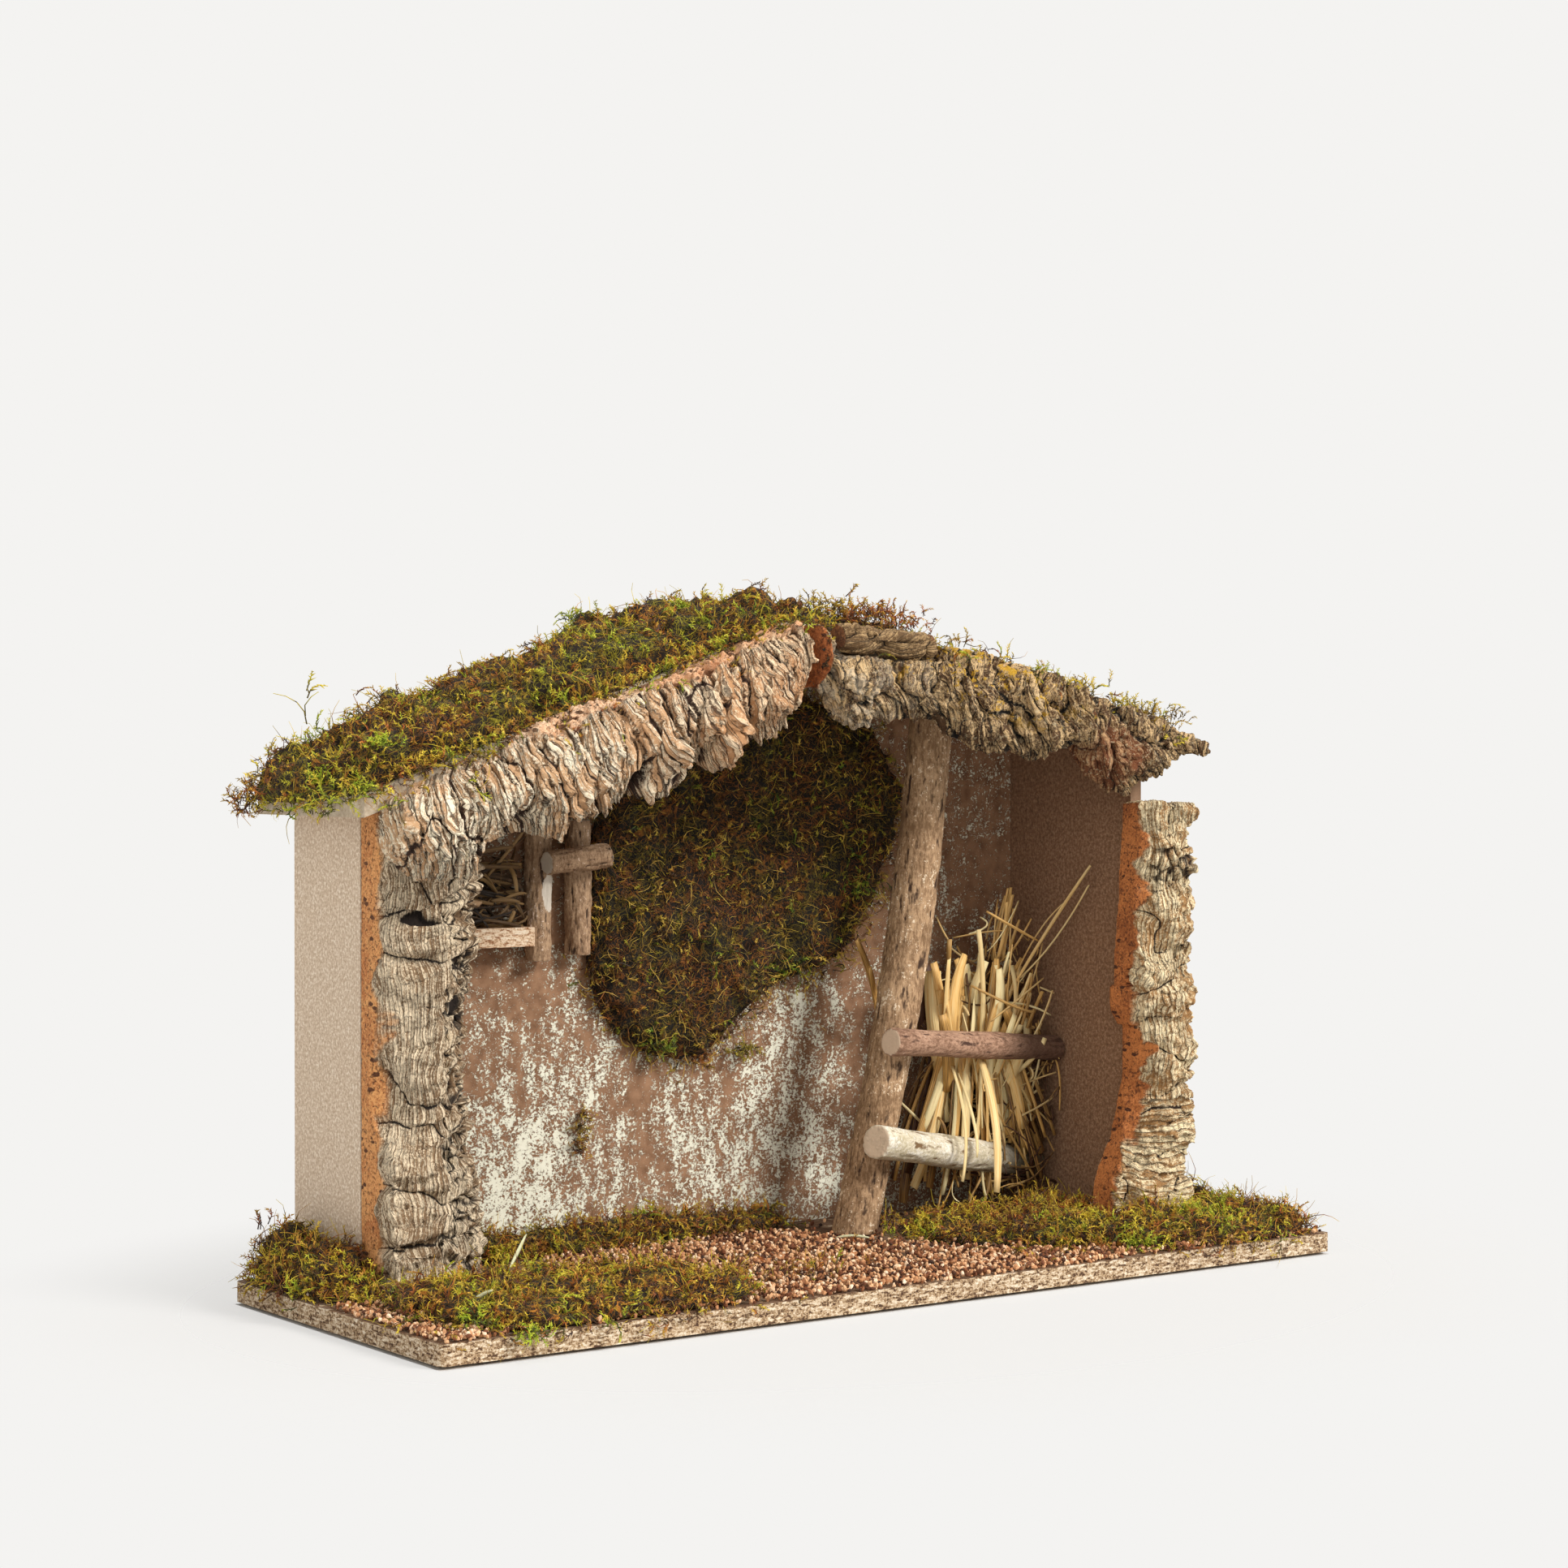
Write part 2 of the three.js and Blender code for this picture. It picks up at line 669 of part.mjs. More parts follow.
// A moss pad: an outline of a few points, a flat or sloping bed and a lumpy, rounded top. place turns a point of
// the plan and its height above the bed into a point of the stable.
function mossPad({ outline, thick, seed, place }) {
  const corners = outline.map(([u, v]) => new THREE.Vector3(u, v, 0));
  const curve = new THREE.CatmullRomCurve3(corners, true, "catmullrom", mossRoundness);
  const edge = curve.getSpacedPoints(mossSegments).slice(0, -1);
  const centre = edge.reduce((sum, p) => sum.add(p), new THREE.Vector3()).divideScalar(edge.length);
  const layers = [[1, 0], [1, 0.35], [0.93, 0.75], [0.74, 0.95], [0.42, 1], [0.12, 1]];
  const rings = layers.map(([size, height]) =>
    edge.map((p) => {
      const u = lerp(centre.x, p.x, size);
      const v = lerp(centre.y, p.y, size);
      const lump = 1 + 0.16 * Math.sin(u / 9 + seed) * Math.cos(v / 8 - seed) + 0.1 * Math.sin((u + v) / 5.5);
      return place(u, v, thick * height * lump);
    }),
  );
  return loft(rings);
}

// An outline drawn as shares of a rectangle.
function within([left, right], [front, back], pairs) {
  return pairs.map(([u, v]) => [lerp(left, right, u), lerp(front, back, v)]);
}

const onGround = (x, y, height) => new THREE.Vector3(x, y, floor + height);
const onLeftSlope = (x, y, height) => {
  const bed = ridgeHeight - leftSlope * (ridge - x) + glueLine;
  return new THREE.Vector3(x, y, bed + height);
};
const onRightSlope = (x, y, height) => {
  const bed = ridgeHeight - rightSlope * (x - ridge) + glueLine;
  return new THREE.Vector3(x, y, bed + height);
};
const onBackWall = (x, z, height) => new THREE.Vector3(x, wallFace - height, z);

// The moss of the left slope hangs over the eave and the back, and meets the other at the ridge.
function leftRoofMoss() {
  const eave = leftEave - roofMossOverhang;
  const outline = within([eave, ridge - glueLine], [roofFront + mossInset, backEdge + mossInset], [
    [0, 0.4], [0.034, 0.08], [0.3, 0.04], [0.6, 0.06], [0.958, 0.02], [0.996, 0.12], [0.996, 0.88], [0.95, 1],
    [0.5, 1], [0.06, 1], [0.004, 0.84],
  ]);
  return mossPad({ outline, thick: roofMossThick, seed: 0.3, place: onLeftSlope });
}

function rightRoofMoss() {
  const outline = within([ridge + glueLine, rightEave - mossInset], [roofFront + mossInset, backEdge + mossInset], [
    [0.004, 0.14], [0.054, 0], [0.5, 0], [0.955, 0.04], [1, 0.16], [1, 0.86], [0.937, 1], [0.5, 1], [0.054, 1],
    [0.004, 0.86],
  ]);
  return mossPad({ outline, thick: rightRoofMossThick, seed: 2.2, place: onRightSlope });
}

// The moss on the back wall climbs from the middle of the wall to the ridge, beside the loft.
function wallMoss() {
  const left = rightLoftPostX + loftPostRadius + glueLine + mossInset / 2;
  const pairs = [
    [0.01, 0.728], [0.19, 0.957], [0.282, 0.958], [0.57, 0.964], [0.9, 0.962], [1, 0.827], [0.93, 0.648],
    [0.83, 0.531], [0.633, 0.456], [0.495, 0.388], [0.325, 0.302], [0.123, 0.336], [0.01, 0.449], [0.005, 0.58],
  ];
  const outline = pairs.map(([u, v]) => {
    const x = left + u * wallMossWidth;
    return [x, lerp(floor, roofUnder(x), v)];
  });
  return mossPad({ outline, thick: wallMossThick, seed: 1.1, place: onBackWall });
}

// The patch in front of the left column, out to the two front edges of the base.
function frontLeftMoss() {
  const left = leftEdge + mossInset;
  const back = leftWallFront - leftColumnThick - barkSwellHeight - barkRidgeHeight - mossClearance;
  const outline = within([left, left + frontLeftMossLength], [frontEdge + mossInset, back], [
    [0.073, 0.306], [0.244, 0], [0.61, 0.012], [0.915, 0.047], [1, 0.353], [0.854, 0.729], [0.61, 1], [0.244, 1],
    [0.085, 0.835],
  ]);
  return mossPad({ outline, thick: groundMossThick, seed: 3.3, place: onGround });
}

// The taller tuft on the left end of the base, against the outside of the left wall.
function leftEndMoss() {
  const sides = [leftEdge + mossInset, leftWallOuter - mossClearance];
  const outline = within(sides, [backEdge - leftEndMossDepth, backEdge - mossInset], [
    [0, 0.738], [0.16, 0.143], [0.68, 0], [1, 0.238], [1, 0.762], [0.68, 1], [0.24, 0.952],
  ]);
  return mossPad({ outline, thick: edgeMossThick, seed: 5.2, place: onGround });
}

// The low strip of moss and granules along the foot of the back wall.
function wallFootMoss() {
  const sides = [leftWallInner + mossClearance, postFootX - postRadius - mossClearance];
  const outline = within(sides, [wallFace - wallFootMossDepth, wallFace - mossInset / 2], [
    [0.012, 0.5], [0.079, 0.09], [0.5, 0], [0.93, 0.136], [1, 0.636], [0.937, 1], [0.5, 1], [0.055, 1],
  ]);
  return mossPad({ outline, thick: wallFootMossThick, seed: 0.9, place: onGround });
}

// The patch inside the right bay, in front of the straw, from the post past the foot of the right column.
function mangerMoss() {
  const left = postFootX + postRadius + mossClearance;
  const right = rightWallInner - mossClearance;
  const besideColumn = rightWallInner - rightColumnInset - rightColumnFlare - mossClearance * 2;
  const front = rightWallFront - rightColumnThick - mossClearance;
  const back = behindRail(lowerRail, left) - strawClearance;
  const outline = [
    [left, rightWallFront + mossClearance],
    [lerp(left, right, 0.06), lerp(front, rightWallFront, 0.26)],
    [lerp(left, right, 0.28), front],
    [besideColumn, front],
    [besideColumn, rightWallFront + mossClearance],
    [right, rightWallFront + mossClearance * 2],
    [right, back],
    [lerp(left, right, 0.6), back],
    [lerp(left, right, 0.1), back - mossInset],
  ];
  return mossPad({ outline, thick: groundMossThick * 0.75, seed: 2.9, place: onGround });
}

// The patch in front of the right column, out to the right end of the base.
function frontRightMoss() {
  const sides = [postFootX + frontRightMossFromPost, rightEdge - mossInset];
  const back = rightWallFront - rightColumnThick - barkSwellHeight - barkRidgeHeight - mossClearance;
  const outline = within(sides, [frontEdge + mossInset, back], [
    [0, 0.961], [0.121, 0.687], [0.282, 0.196], [0.597, 0], [0.866, 0], [1, 0.313], [0.973, 0.843], [0.866, 1],
    [0.188, 1],
  ]);
  return mossPad({ outline, thick: groundMossThick, seed: 4.4, place: onGround });
}

// The patch on the right end of the base, outside the right wall.
function rightEndMoss() {
  const columnRight = rightWallInner - rightColumnInset + rightColumnWidth;
  const left = Math.max(rightWallOuter, columnRight + mossClearance * 2) + mossClearance;
  const depth = [rightWallFront - rightColumnThick, backEdge - rightColumnThick / 2];
  const outline = within([left, rightEdge - mossInset], depth, [
    [0.17, 0.106], [0.6, 0], [0.75, 0.035], [1, 0.354], [0.83, 0.858], [0.4, 1], [0, 0.912], [0, 0.442],
  ]);
  return mossPad({ outline, thick: groundMossThick, seed: 6.1, place: onGround });
}

// Cork granules strewn over the open middle of the base, up to the moss on either side.
function granules() {
  const left = leftEdge + mossInset + frontLeftMossLength + mossClearance;
  const depth = [frontEdge + mossInset / 2, wallFace - granulesFromWall];
  const outline = within([left, rightEdge - granulesFromRight], depth, [
    [0, 0.155], [0.009, 0.006], [0.5, 0], [0.88, 0], [0.982, 0.032], [0.87, 0.194], [0.783, 0.291], [0.7, 0.362],
    [0.555, 0.819], [0.472, 1], [0.191, 1], [-0.184, 0.948], [-0.092, 0.491],
  ]);
  return mossPad({ outline, thick: granuleThick, seed: 1.9, place: onGround });
}

// Hay piled on the shelf of the loft, against the wall.
function loftHay() {
  const bed = shelfHeight + shelfThick + glueLine;
  const left = leftWallInner + mossClearance;
  const right = leftLoftPostX - loftPostRadius - mossClearance;
  const depth = shelfDepth * 0.8;
  const steps = 16;
  const rings = [];
  for (let i = 0; i <= steps; i += 1) {
    const share = i / steps;
    const x = lerp(left, right, share);
    const height = hayHeight * (0.55 + 0.45 * Math.sin(Math.PI * share) + 0.07 * Math.sin(13 * share));
    const front = wallFace - depth * (0.85 + 0.15 * Math.sin(7 * share));
    rings.push([
      new THREE.Vector3(x, wallFace, bed),
      new THREE.Vector3(x, front, bed),
      new THREE.Vector3(x, front, bed + height * 0.5),
      new THREE.Vector3(x, lerp(front, wallFace, 0.35), bed + height * 0.9),
      new THREE.Vector3(x, wallFace, bed + height),
    ]);
  }
  return loft(rings);
}

// Boards
add("base_board", baseBoard(), 0xcbb496, 0.9);
add("left_wall", wall(leftWallOuter, leftWallInner, leftWallFront, backEdge), 0xc8b299, 0.85);
add("right_wall", wall(rightWallInner, rightWallOuter, rightWallFront, backEdge), 0x7a553c, 0.9);
add("back_wall", wall(leftWallInner + glueLine, rightWallInner - glueLine, backWallFront, backEdge), 0x8f7663, 0.9);
add("roof_board_left", roofBoard(leftEave, ridge - glueLine / 2), 0xb9a389, 0.9);
add("roof_board_right", roofBoard(ridge + glueLine / 2, rightEave), 0xb9a389, 0.9);

// Cork bark
add("fascia_bark_left", leftFascia(), 0xc9ab92, 0.95);
add("fascia_bark_right", rightFascia(), 0x8d7a66, 0.95);
add("ridge_bark_roll", ridgeRoll(), 0x7d6a56, 0.95);
add("column_bark_left", leftColumn(), 0xa3968a, 0.95);
add("column_bark_right", rightColumn(), 0xcbb08a, 0.95);

// Post, manger and loft
add("leaning_post", leaningPost(), 0x8a7361, 0.85);
add("manger_rail_upper", branch(upperRail.start, upperRail.end, upperRailDiameter, 1), 0x8f7766, 0.8);
add("manger_rail_lower", branch(lowerRail.start, lowerRail.end, lowerRailDiameter, 2), 0xc9bfae, 0.75);
add("straw_sheaf", strawSheaf(), 0xd8b56c, 0.7);
add("loft_shelf", loftShelf(), 0xd8b89a, 0.9);
add("loft_post_left", loftPost(leftLoftPostX, leftLoftPostBottom, leftLoftPostLength, 3), 0x7e6a5a, 0.85);
add("loft_post_right", loftPost(rightLoftPostX, rightLoftPostBottom, rightLoftPostLength, 4), 0x7e6a5a, 0.85);
add("loft_lintel", loftLintel(), 0x8a7361, 0.85);
add("loft_hay", loftHay(), 0x8a7243, 0.9);

// Moss and granules
add("roof_moss_left", leftRoofMoss(), 0x75732a, 1);
add("roof_moss_right", rightRoofMoss(), 0x75732a, 1);
add("wall_moss", wallMoss(), 0x5a4f20, 1);
add("ground_moss_front_left", frontLeftMoss(), 0x75732a, 1);
add("ground_moss_left_end", leftEndMoss(), 0x75732a, 1);
add("ground_moss_wall_foot", wallFootMoss(), 0x6e6128, 1);
add("ground_moss_manger", mangerMoss(), 0x6e6a2a, 1);
add("ground_moss_front_right", frontRightMoss(), 0x75732a, 1);
add("ground_moss_right_end", rightEndMoss(), 0x75732a, 1);
add("cork_granules", granules(), 0xb98a6a, 1);

export default stable;
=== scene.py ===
import math
import random

import bmesh
import bpy
from mathutils import Euler, Matrix, Vector, noise


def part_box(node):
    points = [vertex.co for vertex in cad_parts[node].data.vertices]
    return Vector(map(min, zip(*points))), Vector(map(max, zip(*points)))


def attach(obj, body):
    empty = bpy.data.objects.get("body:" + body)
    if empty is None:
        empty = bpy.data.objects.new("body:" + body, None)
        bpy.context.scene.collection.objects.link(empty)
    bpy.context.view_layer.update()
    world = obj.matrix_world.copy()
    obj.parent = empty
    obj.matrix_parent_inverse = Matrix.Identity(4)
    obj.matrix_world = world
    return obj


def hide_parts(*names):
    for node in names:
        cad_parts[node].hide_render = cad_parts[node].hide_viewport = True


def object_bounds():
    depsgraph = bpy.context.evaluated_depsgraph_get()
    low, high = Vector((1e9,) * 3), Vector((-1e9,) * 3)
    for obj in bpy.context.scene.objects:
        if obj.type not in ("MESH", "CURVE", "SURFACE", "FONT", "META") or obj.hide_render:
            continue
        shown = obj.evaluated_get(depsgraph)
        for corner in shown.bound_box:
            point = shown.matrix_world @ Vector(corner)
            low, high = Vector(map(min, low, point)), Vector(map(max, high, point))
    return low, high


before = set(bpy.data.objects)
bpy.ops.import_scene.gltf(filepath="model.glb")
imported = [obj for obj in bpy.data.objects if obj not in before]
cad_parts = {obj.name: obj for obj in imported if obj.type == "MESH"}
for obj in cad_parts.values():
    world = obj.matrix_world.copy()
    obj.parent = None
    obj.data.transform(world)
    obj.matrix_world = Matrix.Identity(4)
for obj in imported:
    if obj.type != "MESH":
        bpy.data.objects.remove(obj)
cad_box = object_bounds()


# The base board is a plate of raw chipboard with a sawn edge all round, where the pressed flakes show end on.
# It is cut to size, its corners are eased and everything else is glued to it.
mm = 0.001


def paint(red, green, blue):
    """A colour as it looks on a screen, from 0 to 255, as the linear colour that a shader takes."""
    linear = [((c / 255 + 0.055) / 1.055) ** 2.4 if c > 10 else c / 255 / 12.92
              for c in (red, green, blue)]
    return (*linear, 1.0)


class Wire:
    """A socket that gives a value. An expression written with it adds its Math nodes."""

    def __init__(self, finish, socket):
        self.finish = finish
        self.socket = socket

    def __add__(self, other):
        return self.finish.maths("ADD", self, other)

    def __radd__(self, other):
        return self.finish.maths("ADD", other, self)

    def __sub__(self, other):
        return self.finish.maths("SUBTRACT", self, other)

    def __rsub__(self, other):
        return self.finish.maths("SUBTRACT", other, self)

    def __mul__(self, other):
        return self.finish.maths("MULTIPLY", self, other)

    def __rmul__(self, other):
        return self.finish.maths("MULTIPLY", other, self)


class Finish:
    """A material that is built from nodes."""

    def __init__(self, name):
        self.material = bpy.data.materials.new(name)
        self.material.use_nodes = True
        self.nodes = self.material.node_tree.nodes
        self.shader = self.nodes["Principled BSDF"]
        self.place = self.node("ShaderNodeTexCoord").out("Object")

    def node(self, kind, settings=None, inputs=None):
        """Adds a node: its settings first, then a value or a wire for each input named."""
        made = self.nodes.new(kind)
        for name, value in (settings or {}).items():
            if name == "stops":
                ramp = made.color_ramp.elements
                for k, (position, color) in enumerate(value):
                    stop = ramp[k] if k < 2 else ramp.new(position)
                    stop.position = position
                    stop.color = color
            else:
                setattr(made, name, value)
        for name, value in (inputs or {}).items():
            self.feed(made.inputs[name], value)
        self.last = made
        return self

    def out(self, name):
        """The output of the node that was added last."""
        return Wire(self, self.last.outputs[name])

    def feed(self, socket, value):
        if isinstance(value, Wire):
            self.material.node_tree.links.new(value.socket, socket)
        else:
            socket.default_value = value

    def maths(self, operation, first, second=0.0):
        return self.node("ShaderNodeMath", {"operation": operation}, {0: first, 1: second}).out(0)

    def mix(self, share, first, second, how="MIX"):
        """A colour between two colours."""
        return self.node("ShaderNodeMix", {"data_type": "RGBA", "blend_type": how},
                         {0: share, 6: first, 7: second}).out(2)

    def ramp(self, value, *stops):
        """A colour picked from a row of stops, each a position and a colour."""
        return self.node("ShaderNodeValToRGB", {"stops": stops}, {"Fac": value}).out("Color")

    def window(self, value, low, high):
        """0 below low, 1 above high and smooth in between."""
        return self.node("ShaderNodeMapRange", {"interpolation_type": "SMOOTHSTEP"},
                         {"Value": value, "From Min": low, "From Max": high}).out("Result")

    def stretch(self, x, y, z):
        """The place on the object, with each axis scaled."""
        return self.node("ShaderNodeVectorMath", {"operation": "MULTIPLY"},
                         {0: self.place, 1: (x, y, z)}).out(0)

    def along(self, axis):
        """The place on the object along one axis."""
        return self.node("ShaderNodeSeparateXYZ", None, {0: self.place}).out(axis)

    def grain(self, size, detail=3.0, rough=0.55, place=None, bend=0.0):
        """Noise from 0 to 1 whose blotches are about as large as size."""
        return self.node("ShaderNodeTexNoise", None, {
            "Vector": place or self.place, "Scale": 0.5 / size, "Detail": detail, "Roughness": rough,
            "Distortion": bend}).out("Fac")

    def cells(self, size, output="Distance", place=None):
        """A pattern of cells about as large as size."""
        return self.node("ShaderNodeTexVoronoi", None, {
            "Vector": place or self.place, "Scale": 1.0 / size}).out(output)

    def kept(self, name):
        """A value that the piece's mesh keeps at each point."""
        return self.node("ShaderNodeAttribute", {"attribute_name": name}).out("Fac")

    def facing(self, axis):
        """How far the surface faces along an axis."""
        normal = self.node("ShaderNodeNewGeometry").out("Normal")
        return self.node("ShaderNodeSeparateXYZ", None, {0: normal}).out(axis)

    def dress(self, color, roughness, height=None, depth=0.0):
        """Connects what changes over the surface to the shader."""
        self.feed(self.shader.inputs["Base Color"], color)
        self.feed(self.shader.inputs["Roughness"], roughness)
        if height is not None:
            bump = self.node("ShaderNodeBump", None, {
                "Strength": 1.0, "Distance": depth, "Height": height})
            self.feed(self.shader.inputs["Normal"], bump.out("Normal"))
        return self.material


def coat_board(node, material):
    """Gives a board that stays as the CAD made it its material."""
    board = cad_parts[node]
    board.data.materials.clear()
    board.data.materials.append(material)


def chipboard(name, dark, middle, pale, dust):
    """Flakes pressed flat with glue, longer than they are thick, with dust stuck to the top."""
    finish = Finish(name)
    flat = finish.stretch(0.45, 0.45, 1.3)
    flake = finish.grain(0.8 * mm, 3.0, 0.7, flat, 0.4)
    chip = finish.cells(1.4 * mm, "Color", place=flat)
    speck = finish.grain(0.6 * mm, 3.0, 0.75)
    tone = 0.5 * flake + 0.16 * chip + 0.5 * speck
    fresh_chip = paint(250, 240, 222)
    color = finish.ramp(tone, (0.49, dark), (0.57, middle), (0.66, pale), (0.8, fresh_chip))
    on_top = finish.window(finish.facing("Z"), 0.5, 0.8)
    dusty = on_top * finish.window(finish.grain(3 * mm, 3.0, 0.7), 0.3, 0.5)
    return finish.dress(finish.mix(0.85 * dusty, color, dust), 0.9, tone, 0.7 * mm)


coat_board("base_board", chipboard(
    "chipboard", paint(70, 44, 26), paint(170, 140, 104), paint(214, 196, 170), paint(96, 62, 36)))


# The left wall is a piece of fibreboard covered outside with pale paper that glitters a little. It stands
# on the base board and is glued along its foot.
glitter = Finish("glitter_paper")
fleck = glitter.grain(0.7 * mm, 2.0, 0.7)
glitter_color = glitter.ramp(fleck, (0.3, paint(186, 160, 134)), (0.5, paint(212, 189, 163)),
                             (0.68, paint(240, 226, 208)))
coat_board("left_wall", glitter.dress(glitter_color, 0.7, fleck, 0.12 * mm))


# The right wall is the same board left brown, with a soft felt-like face. Its sawn front edge is paler.
felt = Finish("brown_board")
nap = felt.grain(0.8 * mm, 3.0, 0.75)
felt_color = felt.ramp(nap, (0.3, paint(100, 72, 50)), (0.5, paint(134, 100, 74)),
                       (0.72, paint(176, 140, 112)))
edge_color = felt.mix(nap, paint(136, 104, 80), paint(176, 146, 120))
front_edge = felt.window(0.0 - felt.facing("Y"), 0.4, 0.6)
coat_board("right_wall", felt.dress(
    felt.mix(front_edge, felt_color, edge_color), 0.95, nap, 0.1 * mm))


# The back wall is thin brown board whose front was dabbed with a nearly dry brush of off-white paint. The
# paint is thickest at the lower left and only catches on the board's tooth elsewhere, in upright strokes.
wall_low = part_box("back_wall")[0]

dabbed = Finish("dabbed_board")
tooth = dabbed.grain(0.7 * mm, 3.0, 0.85, dabbed.stretch(0.85, 1.0, 1.0), 0.3)
strokes = dabbed.grain(4.5 * mm, 5.0, 0.8, dabbed.stretch(1.0, 1.0, 0.5))
clouds = dabbed.grain(34 * mm, 2.0, 0.5)
from_left = dabbed.along("X") - wall_low.x
from_foot = dabbed.along("Z") - wall_low.z
thick_left = dabbed.window(from_left, 150 * mm, 115 * mm)
thick_left = thick_left * dabbed.window(from_foot, 80 * mm, 48 * mm)
band = dabbed.window(from_foot, 175 * mm, 70 * mm)
bare_strip = dabbed.window(from_left, 163 * mm, 175 * mm)
bare_strip = bare_strip * dabbed.window(from_left, 192 * mm, 180 * mm)
load = 0.055 * thick_left + 0.03 * band - 0.03 * bare_strip + 0.11 * (clouds - 0.5) - 0.012
coat = dabbed.window(0.55 * tooth + 0.45 * strokes + load, 0.53, 0.555)
coat = coat * dabbed.window(0.0 - dabbed.facing("Y"), 0.3, 0.6)
board_color = dabbed.ramp(dabbed.grain(3 * mm, 4.0, 0.6), (0.3, paint(116, 82, 56)),
                          (0.7, paint(164, 126, 96)))
paint_color = dabbed.mix(dabbed.grain(2 * mm), paint(228, 226, 204), paint(248, 247, 230))
coat_board("back_wall", dabbed.dress(
    dabbed.mix(coat, board_color, paint_color), 0.9, coat + 0.3 * tooth, 0.3 * mm))


# The two roof boards are bare fibreboard, nailed to the walls and mitred at the ridge. Only their undersides
# and edges show.
raw = Finish("raw_fibreboard")
fibre = raw.grain(1.6 * mm, 4.0, 0.65)
raw_material = raw.dress(
    raw.ramp(fibre, (0.3, paint(168, 146, 118)), (0.7, paint(222, 208, 186))), 0.9, fibre, 0.2 * mm)
for side in ("left", "right"):
    coat_board(f"roof_board_{side}", raw_material)


# The slab on the front of the left roof edge is pale virgin cork, split from the tree in one curved piece.
# Its bark side is broken into thin curled ridges with dark cracks, and along its upper rim the soft pink cork
# shows. Reliefs are worked out in mm.
fascia_net = 0.72 * mm
ridge_x, ridge_z = -12, 306
left_slope, right_slope = 0.354, -0.239


def fine_copy(name, node, net):
    """A copy of a CAD solid with an even net of small faces, smoothed a little."""
    bm = bmesh.new()
    bm.from_mesh(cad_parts[node].data)
    bmesh.ops.remove_doubles(bm, verts=bm.verts, dist=0.001 * mm)
    mesh = bpy.data.meshes.new(name)
    bm.to_mesh(mesh)
    bm.free()
    piece = bpy.data.objects.new(name, mesh)
    bpy.context.scene.collection.objects.link(piece)
    remesh = piece.modifiers.new("net", "REMESH")
    remesh.mode = "VOXEL"
    remesh.voxel_size = net
    soft = piece.modifiers.new("soft", "SMOOTH")
    soft.factor = 0.5
    soft.iterations = 3
    graph = bpy.context.evaluated_depsgraph_get()
    piece.data = bpy.data.meshes.new_from_object(piece.evaluated_get(graph))
    piece.modifiers.clear()
    bpy.data.meshes.remove(mesh)
    piece.data.polygons.foreach_set("use_smooth", [True] * len(piece.data.polygons))
    return piece


def carve(piece, relief, names=("painted_shade", "cut")):
    """Moves each point along its normal by the first number that relief() gives, in mm.

    The other numbers are kept on the points under the names.
    """
    mesh = piece.data
    facings = [v.normal.copy() for v in mesh.vertices]
    kept = []
    for vertex, facing in zip(mesh.vertices, facings):
        height, *values = relief(vertex.co / mm, facing)
        vertex.co += facing * (height * mm)
        kept.append(values)
    for name, values in zip(names, zip(*kept)):
        mesh.attributes.new(name, "FLOAT", "POINT").data.foreach_set("value", values)
    mesh.update()


def ease(value, low, high):
    """0 below low, 1 above high and smooth in between."""
    share = min(1.0, max(0.0, (value - low) / (high - low)))
    return share * share * (3 - 2 * share)


def bent(u, v, seed, bend, size):
    """A point of the bark, moved so that straight rows turn wavy."""
    wave = bend * noise.noise((u / size, v / size, seed))
    ripple = 0.3 * bend * noise.noise((u / 9, v / 9, seed + 5))
    return u + wave + ripple, v + 0.6 * bend * noise.noise((u / size, v / size, seed + 9))


def plates(u, v, seed, wide, tall, depth, crack_depth=1.0):
    """Cork plates of about wide x tall mm: their height, and the signed distance to the next crack."""
    swell = noise.noise((u / wide, v / tall, seed))
    slope = math.hypot(noise.noise(((u + 1) / wide, v / tall, seed)) - swell,
                       noise.noise((u / wide, (v + 1) / tall, seed)) - swell)
    away = max(-6.0, min(6.0, swell / (slope + 0.004)))
    return depth * (ease(abs(swell), 0.0, 0.3) - 0.62) - crack_depth * (1 - ease(abs(away), 0.1, 1.2)), away


def either(first, second):
    """The distance to the nearer one of two cracks, with a sign."""
    return first * second / max(abs(first), abs(second), 0.001)


def lobe(along, edges):
    """A row of lobes: how far a place bulges, from 0 to 1, how near the lobe's edge is, and which one."""
    index = max(k for k, edge in enumerate(edges[:-1]) if along >= edge or k == 0)
    low, high = edges[index:index + 2]
    near = max(0.0, min(along - low, high - along))
    return 1 - (1 - min(1.0, 2 * near / (high - low))) ** 3, near, index


def painted_recess_shade(height):
    """How much painted shade a place gets because it lies lower than the bark round it."""
    return 0.35 * ease(-height, 0.8, 4.0)


def layers(u, v, seed, pitch, length, depth, bend=1.5):
    """Sheets that lie one on the next like thatch, broken off short: height in mm and place in rows."""
    wave = noise.noise((u / 19, v / 17, seed)) + 0.17 * noise.noise((u / 5, v / 5, seed))
    row = u / pitch + bend * wave
    index = math.floor(row)
    shift = 9 * noise.cell((index * 1.37, seed, 0.5))
    level = noise.cell((index * 1.37, math.floor(v / length + shift) * 1.37, seed))
    return depth * (0.9 * (1 - (row - index)) ** 1.5 + 0.9 * level - 0.9), row


def knobs(u, v, seed, size):
    """Crumbling knobs with deep gaps: height, and how much painted shade lies in the gaps."""
    near, far = noise.voronoi((u / size, v / size * 1.15, seed))[0][:2]
    knob = ease(far - near, 0.02, 0.5)
    return 3.4 * (knob - 0.7), (1 - knob) ** 1.8


def pits(place, seed, size):
    """Small pits that the weather has eaten into the bark, from 0 to 1."""
    return ease(noise.fractal(place / size + Vector((seed, 0, 0)), 0.9, 2.0, 3), 0.35, 0.75)


